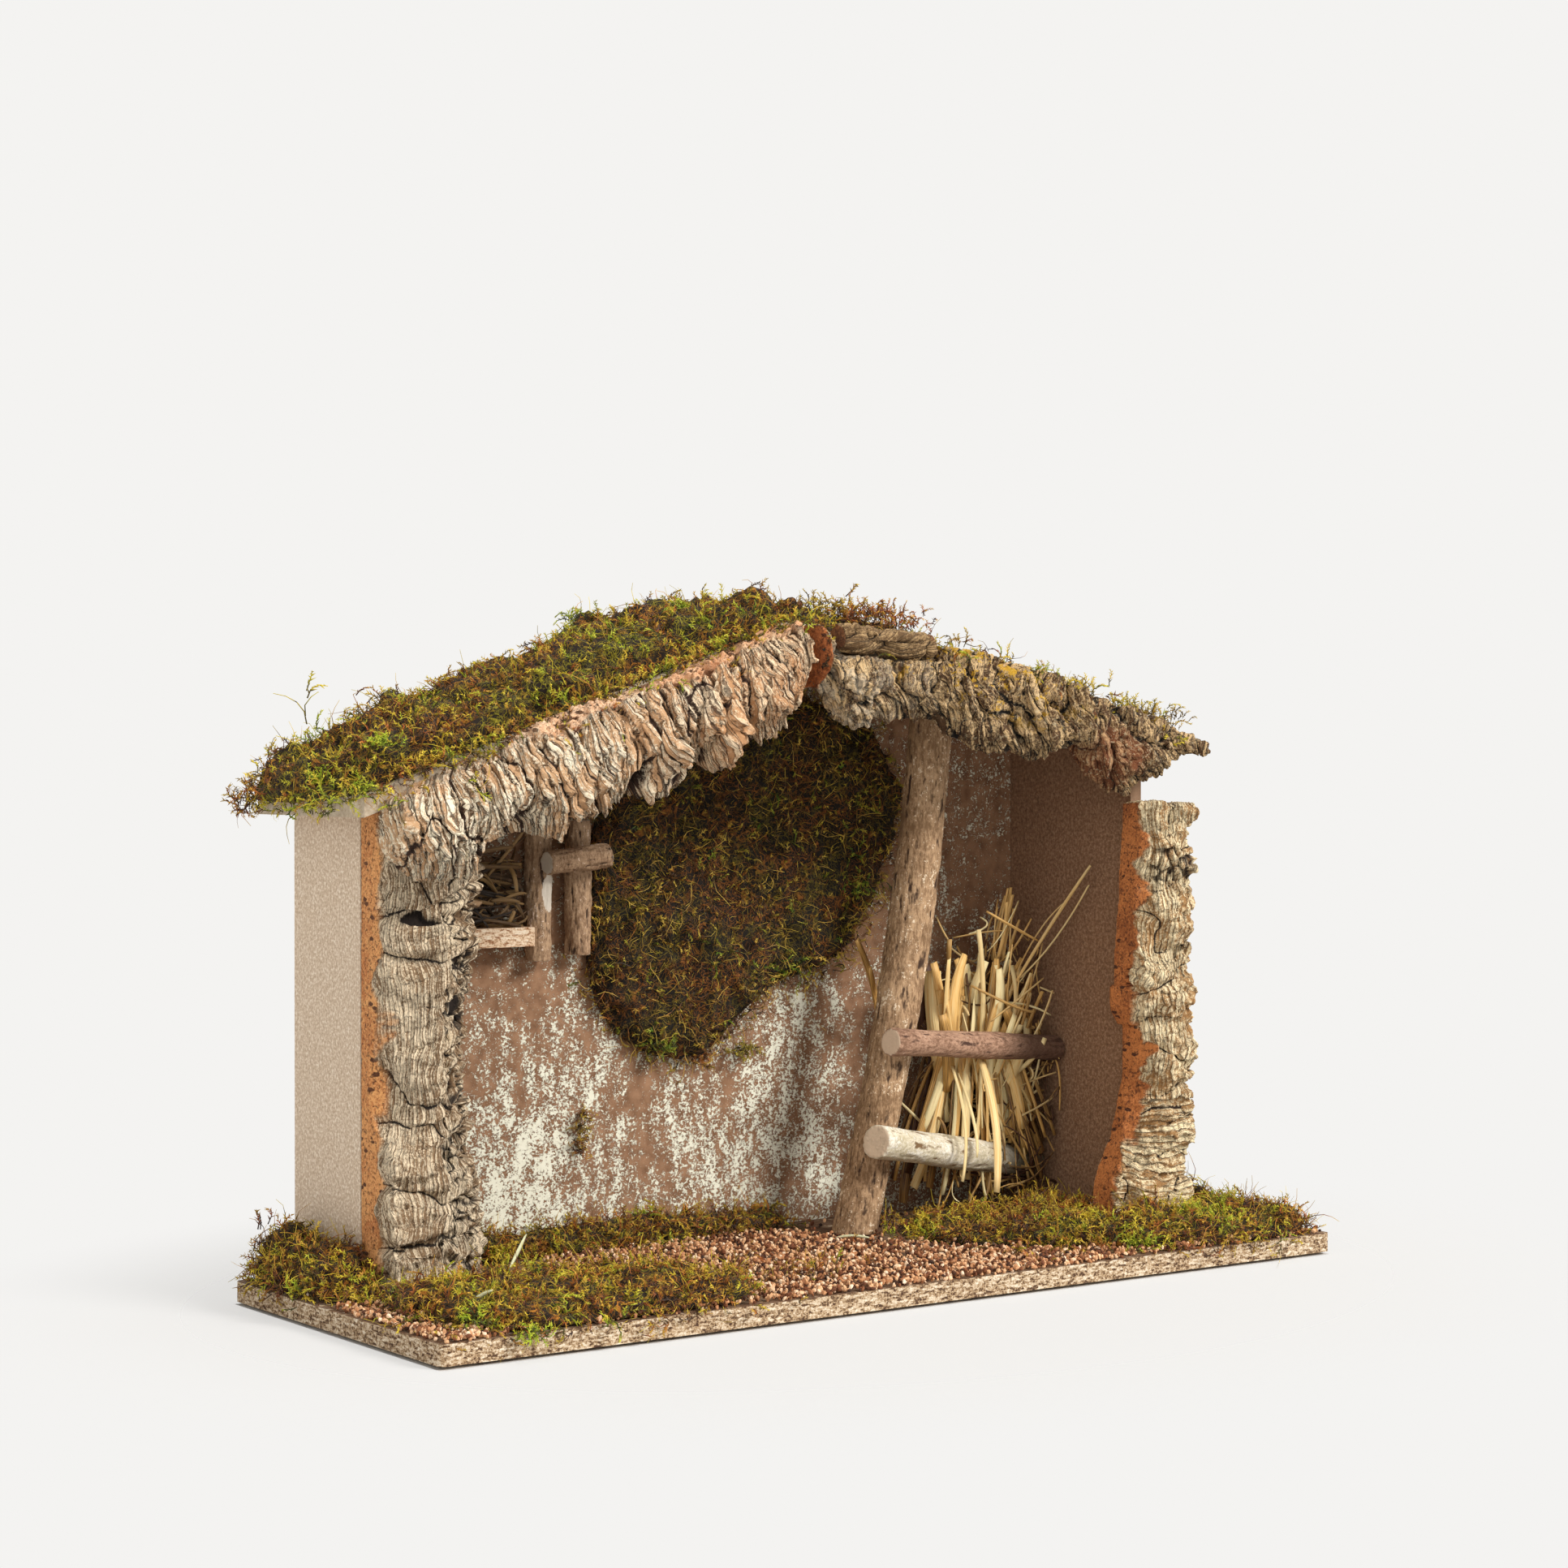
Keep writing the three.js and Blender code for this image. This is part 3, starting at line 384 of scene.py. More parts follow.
def cork_finish(name, crest, flank, gap, sawn, sawn_dark, rows, cracks, pitted=0.6):
    """Bark that is pale on its crests and dark in its cracks, with a sawn face of granular cork.

    It reads what carve() keeps: how much painted shade each place gets, where it is cut, its place in rows of
    layers and along them in mm, and the distance to the nearest crack in mm. The dark lines of cracks, breaks
    and scratches are partly the cork's own dark colour and partly painted shade. rows and cracks say how dark
    those lines are, and pitted how dark the gaps of the sawn face.
    """
    finish = Finish(name)
    row = finish.kept("row")
    run = finish.kept("run")
    painted_shade = finish.kept("painted_shade")
    cut = finish.kept("cut")
    crack = finish.maths("ABSOLUTE", finish.kept("crack"))
    patch = finish.grain(11 * mm, 3.0, 0.65)
    speck = finish.grain(0.6 * mm, 3.0, 0.75)
    index = finish.maths("FLOOR", row)
    part = row - index
    tone = finish.node("ShaderNodeTexWhiteNoise", {"noise_dimensions": "1D"}, {"W": index}).out("Value")

    def streaks(across, length, detail):
        sweep = finish.node("ShaderNodeCombineXYZ", None, {"X": row * across, "Y": run * (0.5 / length)})
        return finish.node("ShaderNodeTexNoise", None, {
            "Vector": sweep.out(0), "Scale": 1.0, "Detail": detail, "Roughness": 0.7}).out("Fac")

    sheet = streaks(2.6, 7.0, 4.0)
    strand = streaks(0.9, 4.0, 4.0)
    light = 0.48 + 1.1 * (sheet - 0.5) + 1.0 * (strand - 0.5)
    light = light + (patch - 0.5) + 1.3 * (speck - 0.5)
    # Each row is painted lighter on its raised side: a painted highlight.
    light = light + 0.3 * rows * (0.4 - part) + 0.25 * (tone - 0.5)
    bark = finish.mix(finish.window(light, 0.26, 0.7), flank, crest)
    split = finish.window(crack + 0.9 * (speck - 0.5), 0.42, 0.1)
    # step_shadow is a painted shadow at the foot of each row, beside the raised edge of the next sheet.
    step_shadow = finish.window(part + 0.25 * (speck - 0.5) + 0.35 * (patch - 0.5), 0.83, 0.96)
    breaks = finish.maths("FRACT", run * 0.14 + tone * 7.0 + 0.6 * strand)
    breaks = finish.window(breaks, 0.1, 0.02) * finish.window(patch + 0.4 * (tone - 0.5), 0.42, 0.6)
    scratch = finish.window(finish.maths("ABSOLUTE", sheet - 0.5), 0.028, 0.008)
    scratch = scratch * finish.window(patch, 0.38, 0.56)
    dark = (1.0 - cracks * split) * (1.0 - rows * step_shadow)
    dark = 1.0 - dark * (1.0 - 0.7 * rows * breaks) * (1.0 - 0.75 * scratch)
    # The kept painted shade darkens cracks, low places, holes and undersides towards the gap colour.
    dark = finish.maths("MINIMUM", dark + finish.window(painted_shade, 0.3, 1.0), 1.0)
    bark = finish.mix(dark, bark, gap)
    pore = finish.cells(9 * mm, place=finish.stretch(1.0, 1.0, 2.0))
    pores = finish.window(pore + 0.3 * (speck - 0.5), 0.23, 0.17) * finish.window(patch, 0.42, 0.48)
    granule = finish.mix(finish.window(0.8 * speck + 0.5 * patch, 0.5, 0.78), sawn_dark, sawn)
    grain_gap = finish.window(finish.grain(1.1 * mm, 3.0, 0.8), 0.44, 0.36)
    granule = finish.mix(pitted * grain_gap, granule, paint(70, 34, 24))
    granule = finish.mix(pores, granule, finish.mix(0.75, sawn_dark, paint(34, 14, 10)))
    # Painted shade darkens the holes and slits of the sawn face too.
    granule = finish.mix(finish.window(painted_shade, 0.35, 0.8), granule, finish.mix(0.6, sawn_dark, gap))
    height = (1.0 - cut) * (0.8 * sheet + strand - split - rows * (step_shadow + 0.5 * breaks)) + 0.8 * speck
    return finish, finish.mix(cut, bark, granule), height - (pores + grain_gap) * cut


# The lobes' edges along the slab, and how far each lobe hangs below its neighbours, in mm.
left_lobes = (-260, -184, -121, -103, -89, -66, -30, 10)
left_hangs = (0, 1, 5, -2, 5, 0, -3)


def left_fascia_relief(place, facing):
    x, y, z = place
    above = z - (ridge_z + left_slope * (x - ridge_x))
    u, v = bent(x + left_slope * z - 0.8 * y, z - left_slope * x, 1.3, 5, 30)
    along = (u + 0.8 * y - 110) / 1.12
    bulge, edge, which = lobe(along, left_lobes)
    arc = u + 0.010 * (above + 16) ** 2
    big, wide_crack = plates(arc, v, 2.2, 17, 60, 2.2, 0.8)
    small, fine_crack = plates(arc, v, 3.1, 3.4, 34, 0.7, 0.5)
    thin, row = layers(arc, v, 4.4, 2.4, 6, 1.4, 0.7)
    grey_end = ease(x, -150, -190)
    rim = -1 + 5 * ease(abs(x + 160), 34, 14) + 5 * ease(abs(x + 76), 26, 8)
    rim += 3 * noise.noise((x / 9, 1.0, 0.0)) + 4 * noise.noise((x / 5, z / 5, 4.0)) - 9 * grey_end
    sawn = max(ease(above, -rim - 1, -rim + 1), ease(facing.z, 0.6, 0.8) * (1 - 0.8 * grey_end))
    front = ease(-facing.y, -0.35, 0.25)
    torn = noise.fractal((x / 9, y / 7, z / 6), 0.7, 2.1, 4)
    hole = ease(-torn, 0.12, 0.42) * sawn
    low_edge = ease(-facing.z, 0.0, 0.5) * ease(-above, 18, 28)
    tooth = (3.0 * noise.noise((arc / 2.4, 3.0, 9.0)) + 9.0 * (bulge - 0.6) + left_hangs[which]) * low_edge
    rough = 0.6 * noise.fractal((x / 4, y / 4, z / 4), 0.8, 2.1, 3)
    round_face = 3.0 * max(-1.0, 1 - ((above + 15) / 15) ** 2)
    bark = 4.6 * (bulge - 0.75) + 0.4 * left_hangs[which] + round_face + big + small + thin + rough
    rim_face = 4.4 * torn + 2.5 * rough - 0.2
    height = front * ((1 - sawn) * bark + sawn * rim_face) + tooth * (0.35 + 0.65 * front)
    # shade is painted shade: darker near the wide cracks, in low places and along each lobe's edge, where the
    # step casts a shadow. The holes in the torn rim are partly the cork's own brown and partly painted shade.
    shade = 0.5 * (1 - ease(abs(wide_crack), 0.2, 1.1)) + painted_recess_shade(big + small + thin)
    shade += 0.5 * (1 - ease(edge, 0.2, 1.4))
    # Faces that look down get painted shade.
    underside_shade = ease(-facing.z, 0.3, 0.9) * 0.3
    crack = either(either(wide_crack, fine_crack), edge + 0.1)
    return height, min(1.0, (1 - sawn) * shade + hole + underside_shade), sawn, row, v, crack


bark_names = ("painted_shade", "cut", "row", "run", "crack")
left_fascia = fine_copy("left_fascia_cork", "fascia_bark_left", fascia_net)
carve(left_fascia, left_fascia_relief, bark_names)
pale_cork, pale_color, pale_height = cork_finish(
    "pale_cork", paint(255, 242, 214), paint(206, 164, 122), paint(56, 32, 16), paint(250, 214, 178),
    paint(214, 160, 118), rows=0.7, cracks=0.7, pitted=0.35)
warm_end = pale_cork.window(pale_cork.along("X"), -130 * mm, -60 * mm)
pale_color = pale_cork.mix(0.7 * warm_end, pale_color, paint(242, 220, 200), "MULTIPLY")
left_fascia.data.materials.append(pale_cork.dress(pale_color, 0.92, pale_height, 1.1 * mm))
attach(left_fascia, "root")
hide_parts("fascia_bark_left")


# The slab on the front of the right roof edge is older, darker cork with deep slanting cracks and yellow
# lichen. Its left end is sawn and rusty brown, and so is a lobe near its right end.
def right_fascia_relief(place, facing):
    x, y, z = place
    above = z - (ridge_z + right_slope * (x - ridge_x))
    u, v = bent(x + 0.35 * z - 0.8 * y, z - right_slope * x - 0.3 * x, 12.0, 7, 30)
    big, wide_crack = plates(u, v, 12.2, 20, 34, 4.6, 1.2)
    small, fine_crack = plates(u, v, 13.1, 5, 16, 1.0, 0.5)
    thin, row = layers(u, v, 14.4, 3.0, 6, 0.5, 1.1)
    sawn = ease(-facing.x, 0.6, 0.85) * ease(-x, 0, 6)
    front = ease(-facing.y, -0.5, 0.3)
    pit = pits(place, 5.0, 5.0)
    low_edge = ease(-facing.z, 0.0, 0.5) * ease(-above, 12, 22)
    tooth = 3.0 * noise.noise((u / 7.0, 5.0, 9.0)) * low_edge
    lump = 3.0 * noise.fractal((x / 13, y / 13, z / 13), 0.8, 2.1, 3)
    rough = 1.9 * noise.fractal((x / 4, y / 4, z / 4), 0.7, 2.1, 4)
    bark = big + lump + small + thin - 1.4 * pit
    height = front * ((1 - 0.9 * sawn) * bark + rough) * (1 - 0.6 * ease(facing.z, 0.4, 0.9))
    height += tooth * (0.35 + 0.65 * front)
    # Faces that look down get painted shade.
    underside_shade = ease(-facing.z, 0.3, 0.9) * 0.3
    # shade is painted shade: darker near the wide cracks, in the pits and in low places.
    shade = 0.6 * (1 - ease(abs(wide_crack), 0.2, 1.3)) + 0.4 * pit + painted_recess_shade(lump + 2.5 * rough - 1)
    return height, min(1.0, shade * (1 - sawn) + underside_shade), sawn, row, v, either(wide_crack, fine_crack)


right_fascia = fine_copy("right_fascia_cork", "fascia_bark_right", fascia_net)
carve(right_fascia, right_fascia_relief, bark_names)
dark_cork, dark_color, dark_height = cork_finish(
    "dark_cork", paint(222, 188, 138), paint(86, 58, 32), paint(22, 13, 6), paint(206, 126, 72),
    paint(160, 90, 50), rows=0.5, cracks=0.9, pitted=0.3)
bark_side = 1.0 - dark_cork.kept("cut")
from_ridge = dark_cork.along("X") - ridge_x * mm
bleached = dark_cork.window(from_ridge, 80 * mm, 25 * mm)
bleached = bleached * dark_cork.window(dark_cork.grain(6 * mm, 4.0, 0.7), 0.44, 0.6)
rusty_lobe = (166 * mm, 0, 242 * mm)
from_lobe = dark_cork.node("ShaderNodeVectorMath", {"operation": "DISTANCE"}, {
    0: dark_cork.stretch(1.0, 0.0, 1.0), 1: rusty_lobe}).out("Value")
rusty = dark_cork.window(from_lobe + 0.02 * dark_cork.grain(7 * mm, 4.0, 0.7), 33 * mm, 20 * mm)
lichen = dark_cork.window(dark_cork.grain(5 * mm, 4.0, 0.75), 0.54, 0.59)
lichen = lichen * dark_cork.window(dark_cork.kept("painted_shade"), 0.7, 0.3) * bark_side
lichen = lichen * dark_cork.window(from_ridge, 35 * mm, 55 * mm)
lichen = lichen * dark_cork.window(from_ridge, 165 * mm, 125 * mm)
above_eave = dark_cork.along("Z") - right_slope * dark_cork.along("X")
lichen = lichen * dark_cork.window(above_eave, 280 * mm, 291 * mm)
lichen_specks = dark_cork.window(dark_cork.grain(1.0 * mm, 3.0, 0.75), 0.57, 0.63)
dark_color = dark_cork.mix(0.55 * rusty * bark_side, dark_color, paint(132, 68, 32))
dark_color = dark_cork.mix(0.5 * lichen_specks * bark_side, dark_color, paint(220, 202, 164))
dark_color = dark_cork.mix(0.38 * bleached * bark_side, dark_color, paint(226, 212, 188))
dark_color = dark_cork.mix(lichen * 0.85, dark_color, paint(206, 160, 36))
right_fascia.data.materials.append(dark_cork.dress(dark_color, 0.94, dark_height, 1.1 * mm))
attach(right_fascia, "root")
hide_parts("fascia_bark_right")


# The roll beside the ridge is a curl of thin bark, glued on to hide the joint of the two slabs.
def roll_relief(place, facing):
    x, y, z = place
    turn = 8 * math.atan2(z - 297, y + 19)
    u, v = bent(turn + 0.2 * x, x, 22.0, 3, 18)
    big, wide_crack = plates(u, v, 22.2, 8, 16, 2.4)
    thin, row = layers(u, v, 24.4, 2.4, 9, 0.9)
    end = ease(abs(facing.x), 0.6, 0.85)
    # shade is painted shade near the cracks, with a little on the sawn ends.
    shade = (1 - end) * (1 - ease(abs(wide_crack), 0.0, 1.2))
    return (1 - end) * (big + thin), 0.6 * shade + 0.3 * end, 0.7 * end, row, v, wide_crack


ridge_roll = fine_copy("ridge_roll_cork", "ridge_bark_roll", 0.7 * mm)
carve(ridge_roll, roll_relief, bark_names)
roll_cork, roll_color, roll_height = cork_finish(
    "brown_cork", paint(182, 150, 106), paint(100, 74, 44), paint(30, 18, 9), paint(160, 92, 48),
    paint(98, 52, 28), rows=0.5, cracks=0.7, pitted=0.3)
ridge_roll.data.materials.append(roll_cork.dress(roll_color, 0.93, roll_height, 0.7 * mm))
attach(ridge_roll, "root")
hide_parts("ridge_bark_roll")


# The slab on the front edge of the left wall is grey cork: smooth swollen plates on its left half, with fine
# upright lines, and crumbling knobs on its right half. Its left side is sawn flush with the wall.
column_net = 0.78 * mm
left_column_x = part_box("column_bark_left")[0].x / mm
left_column_wide = 56

# Worm holes and knot holes: x, z, half the width and half the height in mm.
worm_holes = [(-206, 173, 9, 2.5), (-187, 135, 4, 4), (-190, 100, 3, 5), (-186, 42, 5, 2.5),
              (-180, 156, 2.5, 4)]

# The heights at which the bark parts into storeys, in mm.
left_storeys = (-20, 27, 76, 138, 176, 250)


def worm_hole(x, z):
    """How deep in a hole a place is, from 0 to 1."""
    return max(0.0, *(1 - ((x - a) / wide) ** 2 - ((z - b) / tall) ** 2
                      for a, b, wide, tall in worm_holes))


def left_column_relief(place, facing):
    x, y, z = place
    side = x - 0.7 * (y - 30)
    across = (x - left_column_x) / left_column_wide + 0.15 * noise.noise((z / 21, 2.0, 4.0))
    crumb = ease(across, 0.42, 0.52)
    u, v = bent(side, z, 33.0, 5, 30)
    bulge, edge, _ = lobe(v + 0.18 * (side + 190) + 5 * noise.noise((side / 22, z / 40, 9.0)), left_storeys)
    big, wide_crack = plates(v, u, 31.4, 24, 62, 3.4, 1.2)
    small, fine_crack = plates(v, u, 36.0, 5, 9, 1.6, 0.5)
    thin, row = layers(u, v, 35.0, 1.7, 16, 0.6, 0.9)
    knob, gap = knobs(z, side, 36.0, 6.0)
    hole = ease(worm_hole(x + 2 * noise.noise((z / 3, x / 3, 0.0)), z), 0.0, 0.5)
    pit = pits(place, 35.0, 7.0) * (0.25 + 0.75 * crumb)
    ragged = 14 + 11 * noise.noise((z / 17, 7.0, 3.0))
    sawn = ease(-facing.x, 0.72, 0.86) * ease(y, ragged - 1.5, ragged + 1.5)
    front = min(1.0, ease(-facing.y, -0.35, 0.25) + ease(-facing.x, 0.6, 0.9) * 0.6)
    rough = 0.8 * noise.fractal((x / 4, y / 4, z / 4), 0.8, 2.1, 3)
    bark = 2.6 * (bulge - 0.8) + big + 0.2 * small + thin + rough
    bark = bark + crumb * (0.8 * knob + small - 0.5) - 2.2 * pit - 4 * hole
    # shade is painted shade: darker near the wide cracks, in the gaps between the knobs, in the pits and worm
    # holes, in low places and along the storeys' edges. It is also a little darker over the crumbling half.
    shade = 0.5 * (1 - ease(abs(wide_crack), 0.1, 0.9)) + 0.3 * crumb * gap + 0.45 * pit + hole
    parted = ease(noise.noise((side / 8, z / 40, 3.0)), -0.25, 0.1)
    shade += painted_recess_shade(3 * rough) + 0.15 * crumb + 0.5 * parted * (1 - ease(edge, 0.2, 1.4))
    crack = either(wide_crack * (1 - crumb) + fine_crack * crumb, edge + 0.15 + 2 * (1 - parted))
    return front * (1 - 0.95 * sawn) * bark, min(1.0, (1 - sawn) * shade), sawn, row, v, crack


left_column = fine_copy("left_column_cork", "column_bark_left", column_net)
carve(left_column, left_column_relief, bark_names)
grey_cork, grey_color, grey_height = cork_finish(
    "grey_cork", paint(242, 222, 190), paint(134, 106, 76), paint(30, 18, 9), paint(236, 172, 108),
    paint(184, 112, 62), rows=0.62, cracks=0.9)
left_column.data.materials.append(grey_cork.dress(grey_color, 0.92, grey_height, 0.9 * mm))
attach(left_column, "root")
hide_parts("column_bark_left")


# The slab on the front edge of the right wall is cream cork in thick storeys with cracks between them. Its left
# side is sawn, rusty orange and pitted.
right_storeys = (-20, 42, 58, 72, 110, 140, 174, 203, 240)


def right_column_relief(place, facing):
    x, y, z = place
    side = x - 0.7 * (y + 6)
    u, v = bent(side, z, 43.0, 5, 24)
    bulge, edge, _ = lobe(v - 0.12 * (side - 190) + 3 * noise.noise((side / 16, z / 40, 9.0)), right_storeys)
    big, wide_crack = plates(v, u, 43.4, 20, 34, 2.8, 0.8)
    small, fine_crack = plates(v, u, 44.0, 7, 16, 0.9, 0.4)
    knob, gap = knobs(z, side, 46.0, 7.0)
    crumb = max(ease(abs(z - 190), 13, 7) * ease(x, 188, 196),
                0.6 * ease(x, 200, 208) * ease(abs(z - 110), 70, 50))
    upright = z > right_storeys[3]
    thin, row = layers(u, v, 45.4, 2.6, 14, 0.8) if upright else layers(v, u, 44.4, 3.0, 9, 1.1)
    ragged = -21 + 8 * noise.noise((z / 13, 7.0, 3.0)) + 4 * noise.noise((z / 4, y / 9, 1.0))
    sawn = ease(-facing.x, 0.6, 0.8) * ease(y, ragged - 1, ragged + 1)
    front = min(1.0, ease(-facing.y, -0.35, 0.25) + ease(-facing.x, 0.6, 0.9) * 0.6)
    rough = 1.2 * noise.fractal((x / 4, y / 4, z / 4), 0.7, 2.1, 4)
    bark = 3.2 * (bulge - 0.75) + big + small + thin + crumb * (knob - 0.5) + rough
    block = ease(abs(z - 119), 10, 9) * sawn
    slit = ease(abs((z - 128) % 3.6 - 1.8), 0.9, 0.4) * ease(abs(z - 134), 6, 5)
    slit = slit * ease(y, -12, -16) * sawn
    height = front * (1 - 0.95 * sawn) * bark + 2.5 * block - 2 * slit
    # shade is painted shade: darker near the wide cracks, in the gaps between the knobs, along the storeys'
    # edges and in low places. The slits in the sawn face get painted shade too.
    shade = max(0.5 * (1 - ease(abs(wide_crack), 0.1, 0.9)), 0.8 * crumb * gap,
                0.5 * (1 - ease(edge, 0.2, 1.2)))
    shade += painted_recess_shade(3 * rough)
    run = v if upright else u
    return height, min(1.0, (1 - sawn) * shade + slit), sawn, row, run, either(wide_crack, edge + 0.15)


right_column = fine_copy("right_column_cork", "column_bark_right", column_net)
carve(right_column, right_column_relief, bark_names)
cream_cork, cream_color, cream_height = cork_finish(
    "cream_cork", paint(255, 236, 194), paint(166, 124, 76), paint(38, 21, 8), paint(210, 132, 72),
    paint(150, 84, 42), rows=0.6, cracks=0.85)
right_column.data.materials.append(cream_cork.dress(cream_color, 0.92, cream_height, 1.0 * mm))
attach(right_column, "root")
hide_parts("column_bark_right")


# The leaning post is a bent branch with its bark on, cut to stand on the base and meet the roof. The bark is
# grey brown, rubbed pale where it stands proud.
def branch_relief(axis, start, pitch, depth, seed):
    """The relief of a branch's bark round an axis from a start point in mm."""
    side = axis.orthogonal().normalized()
    other = axis.cross(side)

    def relief(place, facing):
        arm = place - start
        turn = math.atan2(arm.dot(other), arm.dot(side))
        run = arm.dot(axis)
        spot = Vector((3.2 * math.cos(turn), 3.2 * math.sin(turn), run / pitch + seed))
        rough = noise.fractal(spot, 0.7, 2.2, 4)
        knot = max(0.0, noise.noise(Vector((math.cos(turn), math.sin(turn), run / 21 + seed))) - 0.35)
        cut = ease(abs(facing.dot(axis)), 0.75, 0.92)
        # The second number is painted shade where the rough bark lies low.
        return (1 - cut) * depth * (rough + 2.2 * knot), min(1.0, max(0.0, 0.25 - 0.7 * rough)), cut

    return relief


def bark_finish(name, crest, flank, gap, sawn, fleck_color, flecks, lengthways, painted_shadow=None):
    """Thin bark on a branch: streaks along it, pale flecks on top, and a sawn end with a little grain.

    flecks says how many there are, and painted_shadow, when given, is the colour of a painted shadow that
    darkens the branch towards its right end.
    """
    finish = Finish(name)
    painted_shade = finish.kept("painted_shade")
    cut = finish.kept("cut")
    streak = finish.grain(0.8 * mm, 4.0, 0.7, finish.stretch(*lengthways))
    patch = finish.grain(12 * mm, 3.0, 0.6)
    speck = finish.grain(0.8 * mm, 3.0, 0.75)
    light = 0.7 * streak + 0.3 * speck + 0.5 * (patch - 0.5)
    color = finish.mix(finish.window(light, 0.36, 0.62), flank, crest)
    # Painted shade where the bark lies low, with dark streaks, takes it towards the gap colour.
    color = finish.mix(finish.window(painted_shade + 0.6 * (0.5 - streak), 0.42, 0.8), color, gap)
    rubbed = finish.window(speck + 0.6 * (patch - 0.5) - 0.35 * painted_shade, 1.0 - flecks, 1.04 - flecks)
    color = finish.mix(rubbed, color, fleck_color)
    if painted_shadow:
        shadow_to_right = finish.window(finish.along("X") + 0.03 * (patch - 0.5), 132 * mm, 172 * mm)
        color = finish.mix(0.7 * shadow_to_right, color, painted_shadow)
    wood = finish.mix(speck, sawn, finish.mix(0.25, sawn, flank))
    color = finish.mix(cut, color, wood)
    return finish.dress(color, 0.88, streak + 0.6 * speck + 0.5 * rubbed, 0.3 * mm)


post_low, post_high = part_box("leaning_post")
post_thick = 23 * mm
post_lean = Vector((post_high.x - post_low.x - post_thick, 0, post_high.z - post_low.z)).normalized()
post_start = Vector((post_low.x + post_thick / 2, (post_low.y + post_high.y) / 2, post_low.z)) / mm
post = fine_copy("post_branch", "leaning_post", 1.0 * mm)
carve(post, branch_relief(post_lean, post_start, 13, 0.5, 2.0))
post.data.materials.append(bark_finish(
    "post_bark", paint(190, 156, 120), paint(126, 96, 66), paint(58, 36, 20), paint(206, 176, 146),
    paint(240, 218, 188), flecks=0.45, lengthways=(1.3, 1.3, 0.35)))
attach(post, "root")
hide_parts("leaning_post")


# The manger rails are two branches glued across the front of the post, sawn off at the left and butted on the
# right wall. The upper one has smooth pinkish bark, the lower one whitish bark that peels.
rails = [
    ("upper", "upper_rail_wood", 7.0, paint(186, 148, 122), paint(128, 94, 72), paint(70, 44, 32),
     paint(226, 200, 180), 0.36),
    ("lower", "birch_rail_wood", 8.5, paint(236, 226, 204), paint(192, 180, 148), paint(120, 92, 60),
     paint(246, 240, 224), 0.5),
]
for level, rail_slot, rail_radius, rail_crest, rail_flank, rail_gap, rail_fleck, rail_flecks in rails:
    low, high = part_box(f"manger_rail_{level}")
    inset = rail_radius * mm
    start = Vector((low.x, low.y + inset, high.z - inset))
    axis = (Vector((high.x, high.y - inset, low.z + inset)) - start).normalized()
    rail = fine_copy(f"{level}_rail_branch", f"manger_rail_{level}", 0.9 * mm)
    carve(rail, branch_relief(axis, start / mm, 16, 0.3, rail_radius))
    # Each rail gets a painted shadow towards its right end, where the right column shades it.
    rail.data.materials.append(bark_finish(
        f"{level}_rail_bark", rail_crest, rail_flank, rail_gap, paint(222, 196, 168), rail_fleck, rail_flecks,
        (0.5, 1.2, 1.2), paint(84, 74, 48) if level == "lower" else paint(74, 48, 34)))
    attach(rail, "root")
    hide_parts(f"manger_rail_{level}")


# The straw sheaf stands behind the rails, jammed against them at its waist. Its flattened wheat stalks fan
# out at the head and the foot, with thin broken straw in between and a few stalks astray.
sheaf_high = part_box("straw_sheaf")[1]
chance = random.Random(11)


def blade(bm, path, width, cup, roll, tint, taper=0.25):
    """Adds a flattened stem that follows a bent line of three points."""
    reach_layer = bm.verts.layers.float.get("reach") or bm.verts.layers.float.new("reach")
    side_layer = bm.verts.layers.float.get("side") or bm.verts.layers.float.new("side")
    tint_layer = bm.verts.layers.float.get("tint") or bm.verts.layers.float.new("tint")
    start, middle, end = path
    made = bmesh.ops.create_grid(bm, x_segments=2, y_segments=9, size=0.5)["verts"]
    for vert in made:
        side, reach = vert.co.x * 2, vert.co.y + 0.5
        spot = start * (1 - reach) ** 2 + middle * 2 * reach * (1 - reach) + end * reach ** 2
        ahead = ((middle - start) * (1 - reach) + (end - middle) * reach).normalized()
        across = ahead.cross(Vector((math.cos(roll), math.sin(roll), 0.3))).normalized()
        out = ahead.cross(across)
        half = width / 2 * (1 - taper * abs(2 * reach - 1) ** 3)
        vert.co = spot + across * side * half + out * cup * (1 - side * side)
        vert[reach_layer] = reach
        vert[side_layer] = side
        vert[tint_layer] = tint


def straw_finish(name, pale, middle, dark):
    """Dry straw: glossy skin with fine lines along it, each stalk a shade of its own."""
    finish = Finish(name)
    tint = finish.kept("tint")
    grain_place = finish.node("ShaderNodeCombineXYZ", None, {
        "X": finish.kept("side") * 3.0 + tint * 40.0, "Y": finish.kept("reach") * 1.4, "Z": tint * 9.0}).out(0)
    lines = finish.node("ShaderNodeTexNoise", None, {
        "Vector": grain_place, "Scale": 1.6, "Detail": 3.0, "Roughness": 0.6}).out("Fac")
    color = finish.ramp(tint + 1.0 * (lines - 0.5), (0.08, dark), (0.45, middle), (0.9, pale))
    return finish.dress(color, 0.5, lines, 0.45 * mm)


def thicken(piece, thickness):
    """Gives blades a wall and soft shading."""
    wall = piece.modifiers.new("wall", "SOLIDIFY")
    wall.thickness = thickness
    wall.offset = 0.0
    piece.data.polygons.foreach_set("use_smooth", [True] * len(piece.data.polygons))


def new_piece(name, bm, material):
    """A finished object from a bmesh."""
    mesh = bpy.data.meshes.new(name)
    bm.to_mesh(mesh)
    bm.free()
    mesh.materials.append(material)
    piece = bpy.data.objects.new(name, mesh)
    bpy.context.scene.collection.objects.link(piece)
    return piece


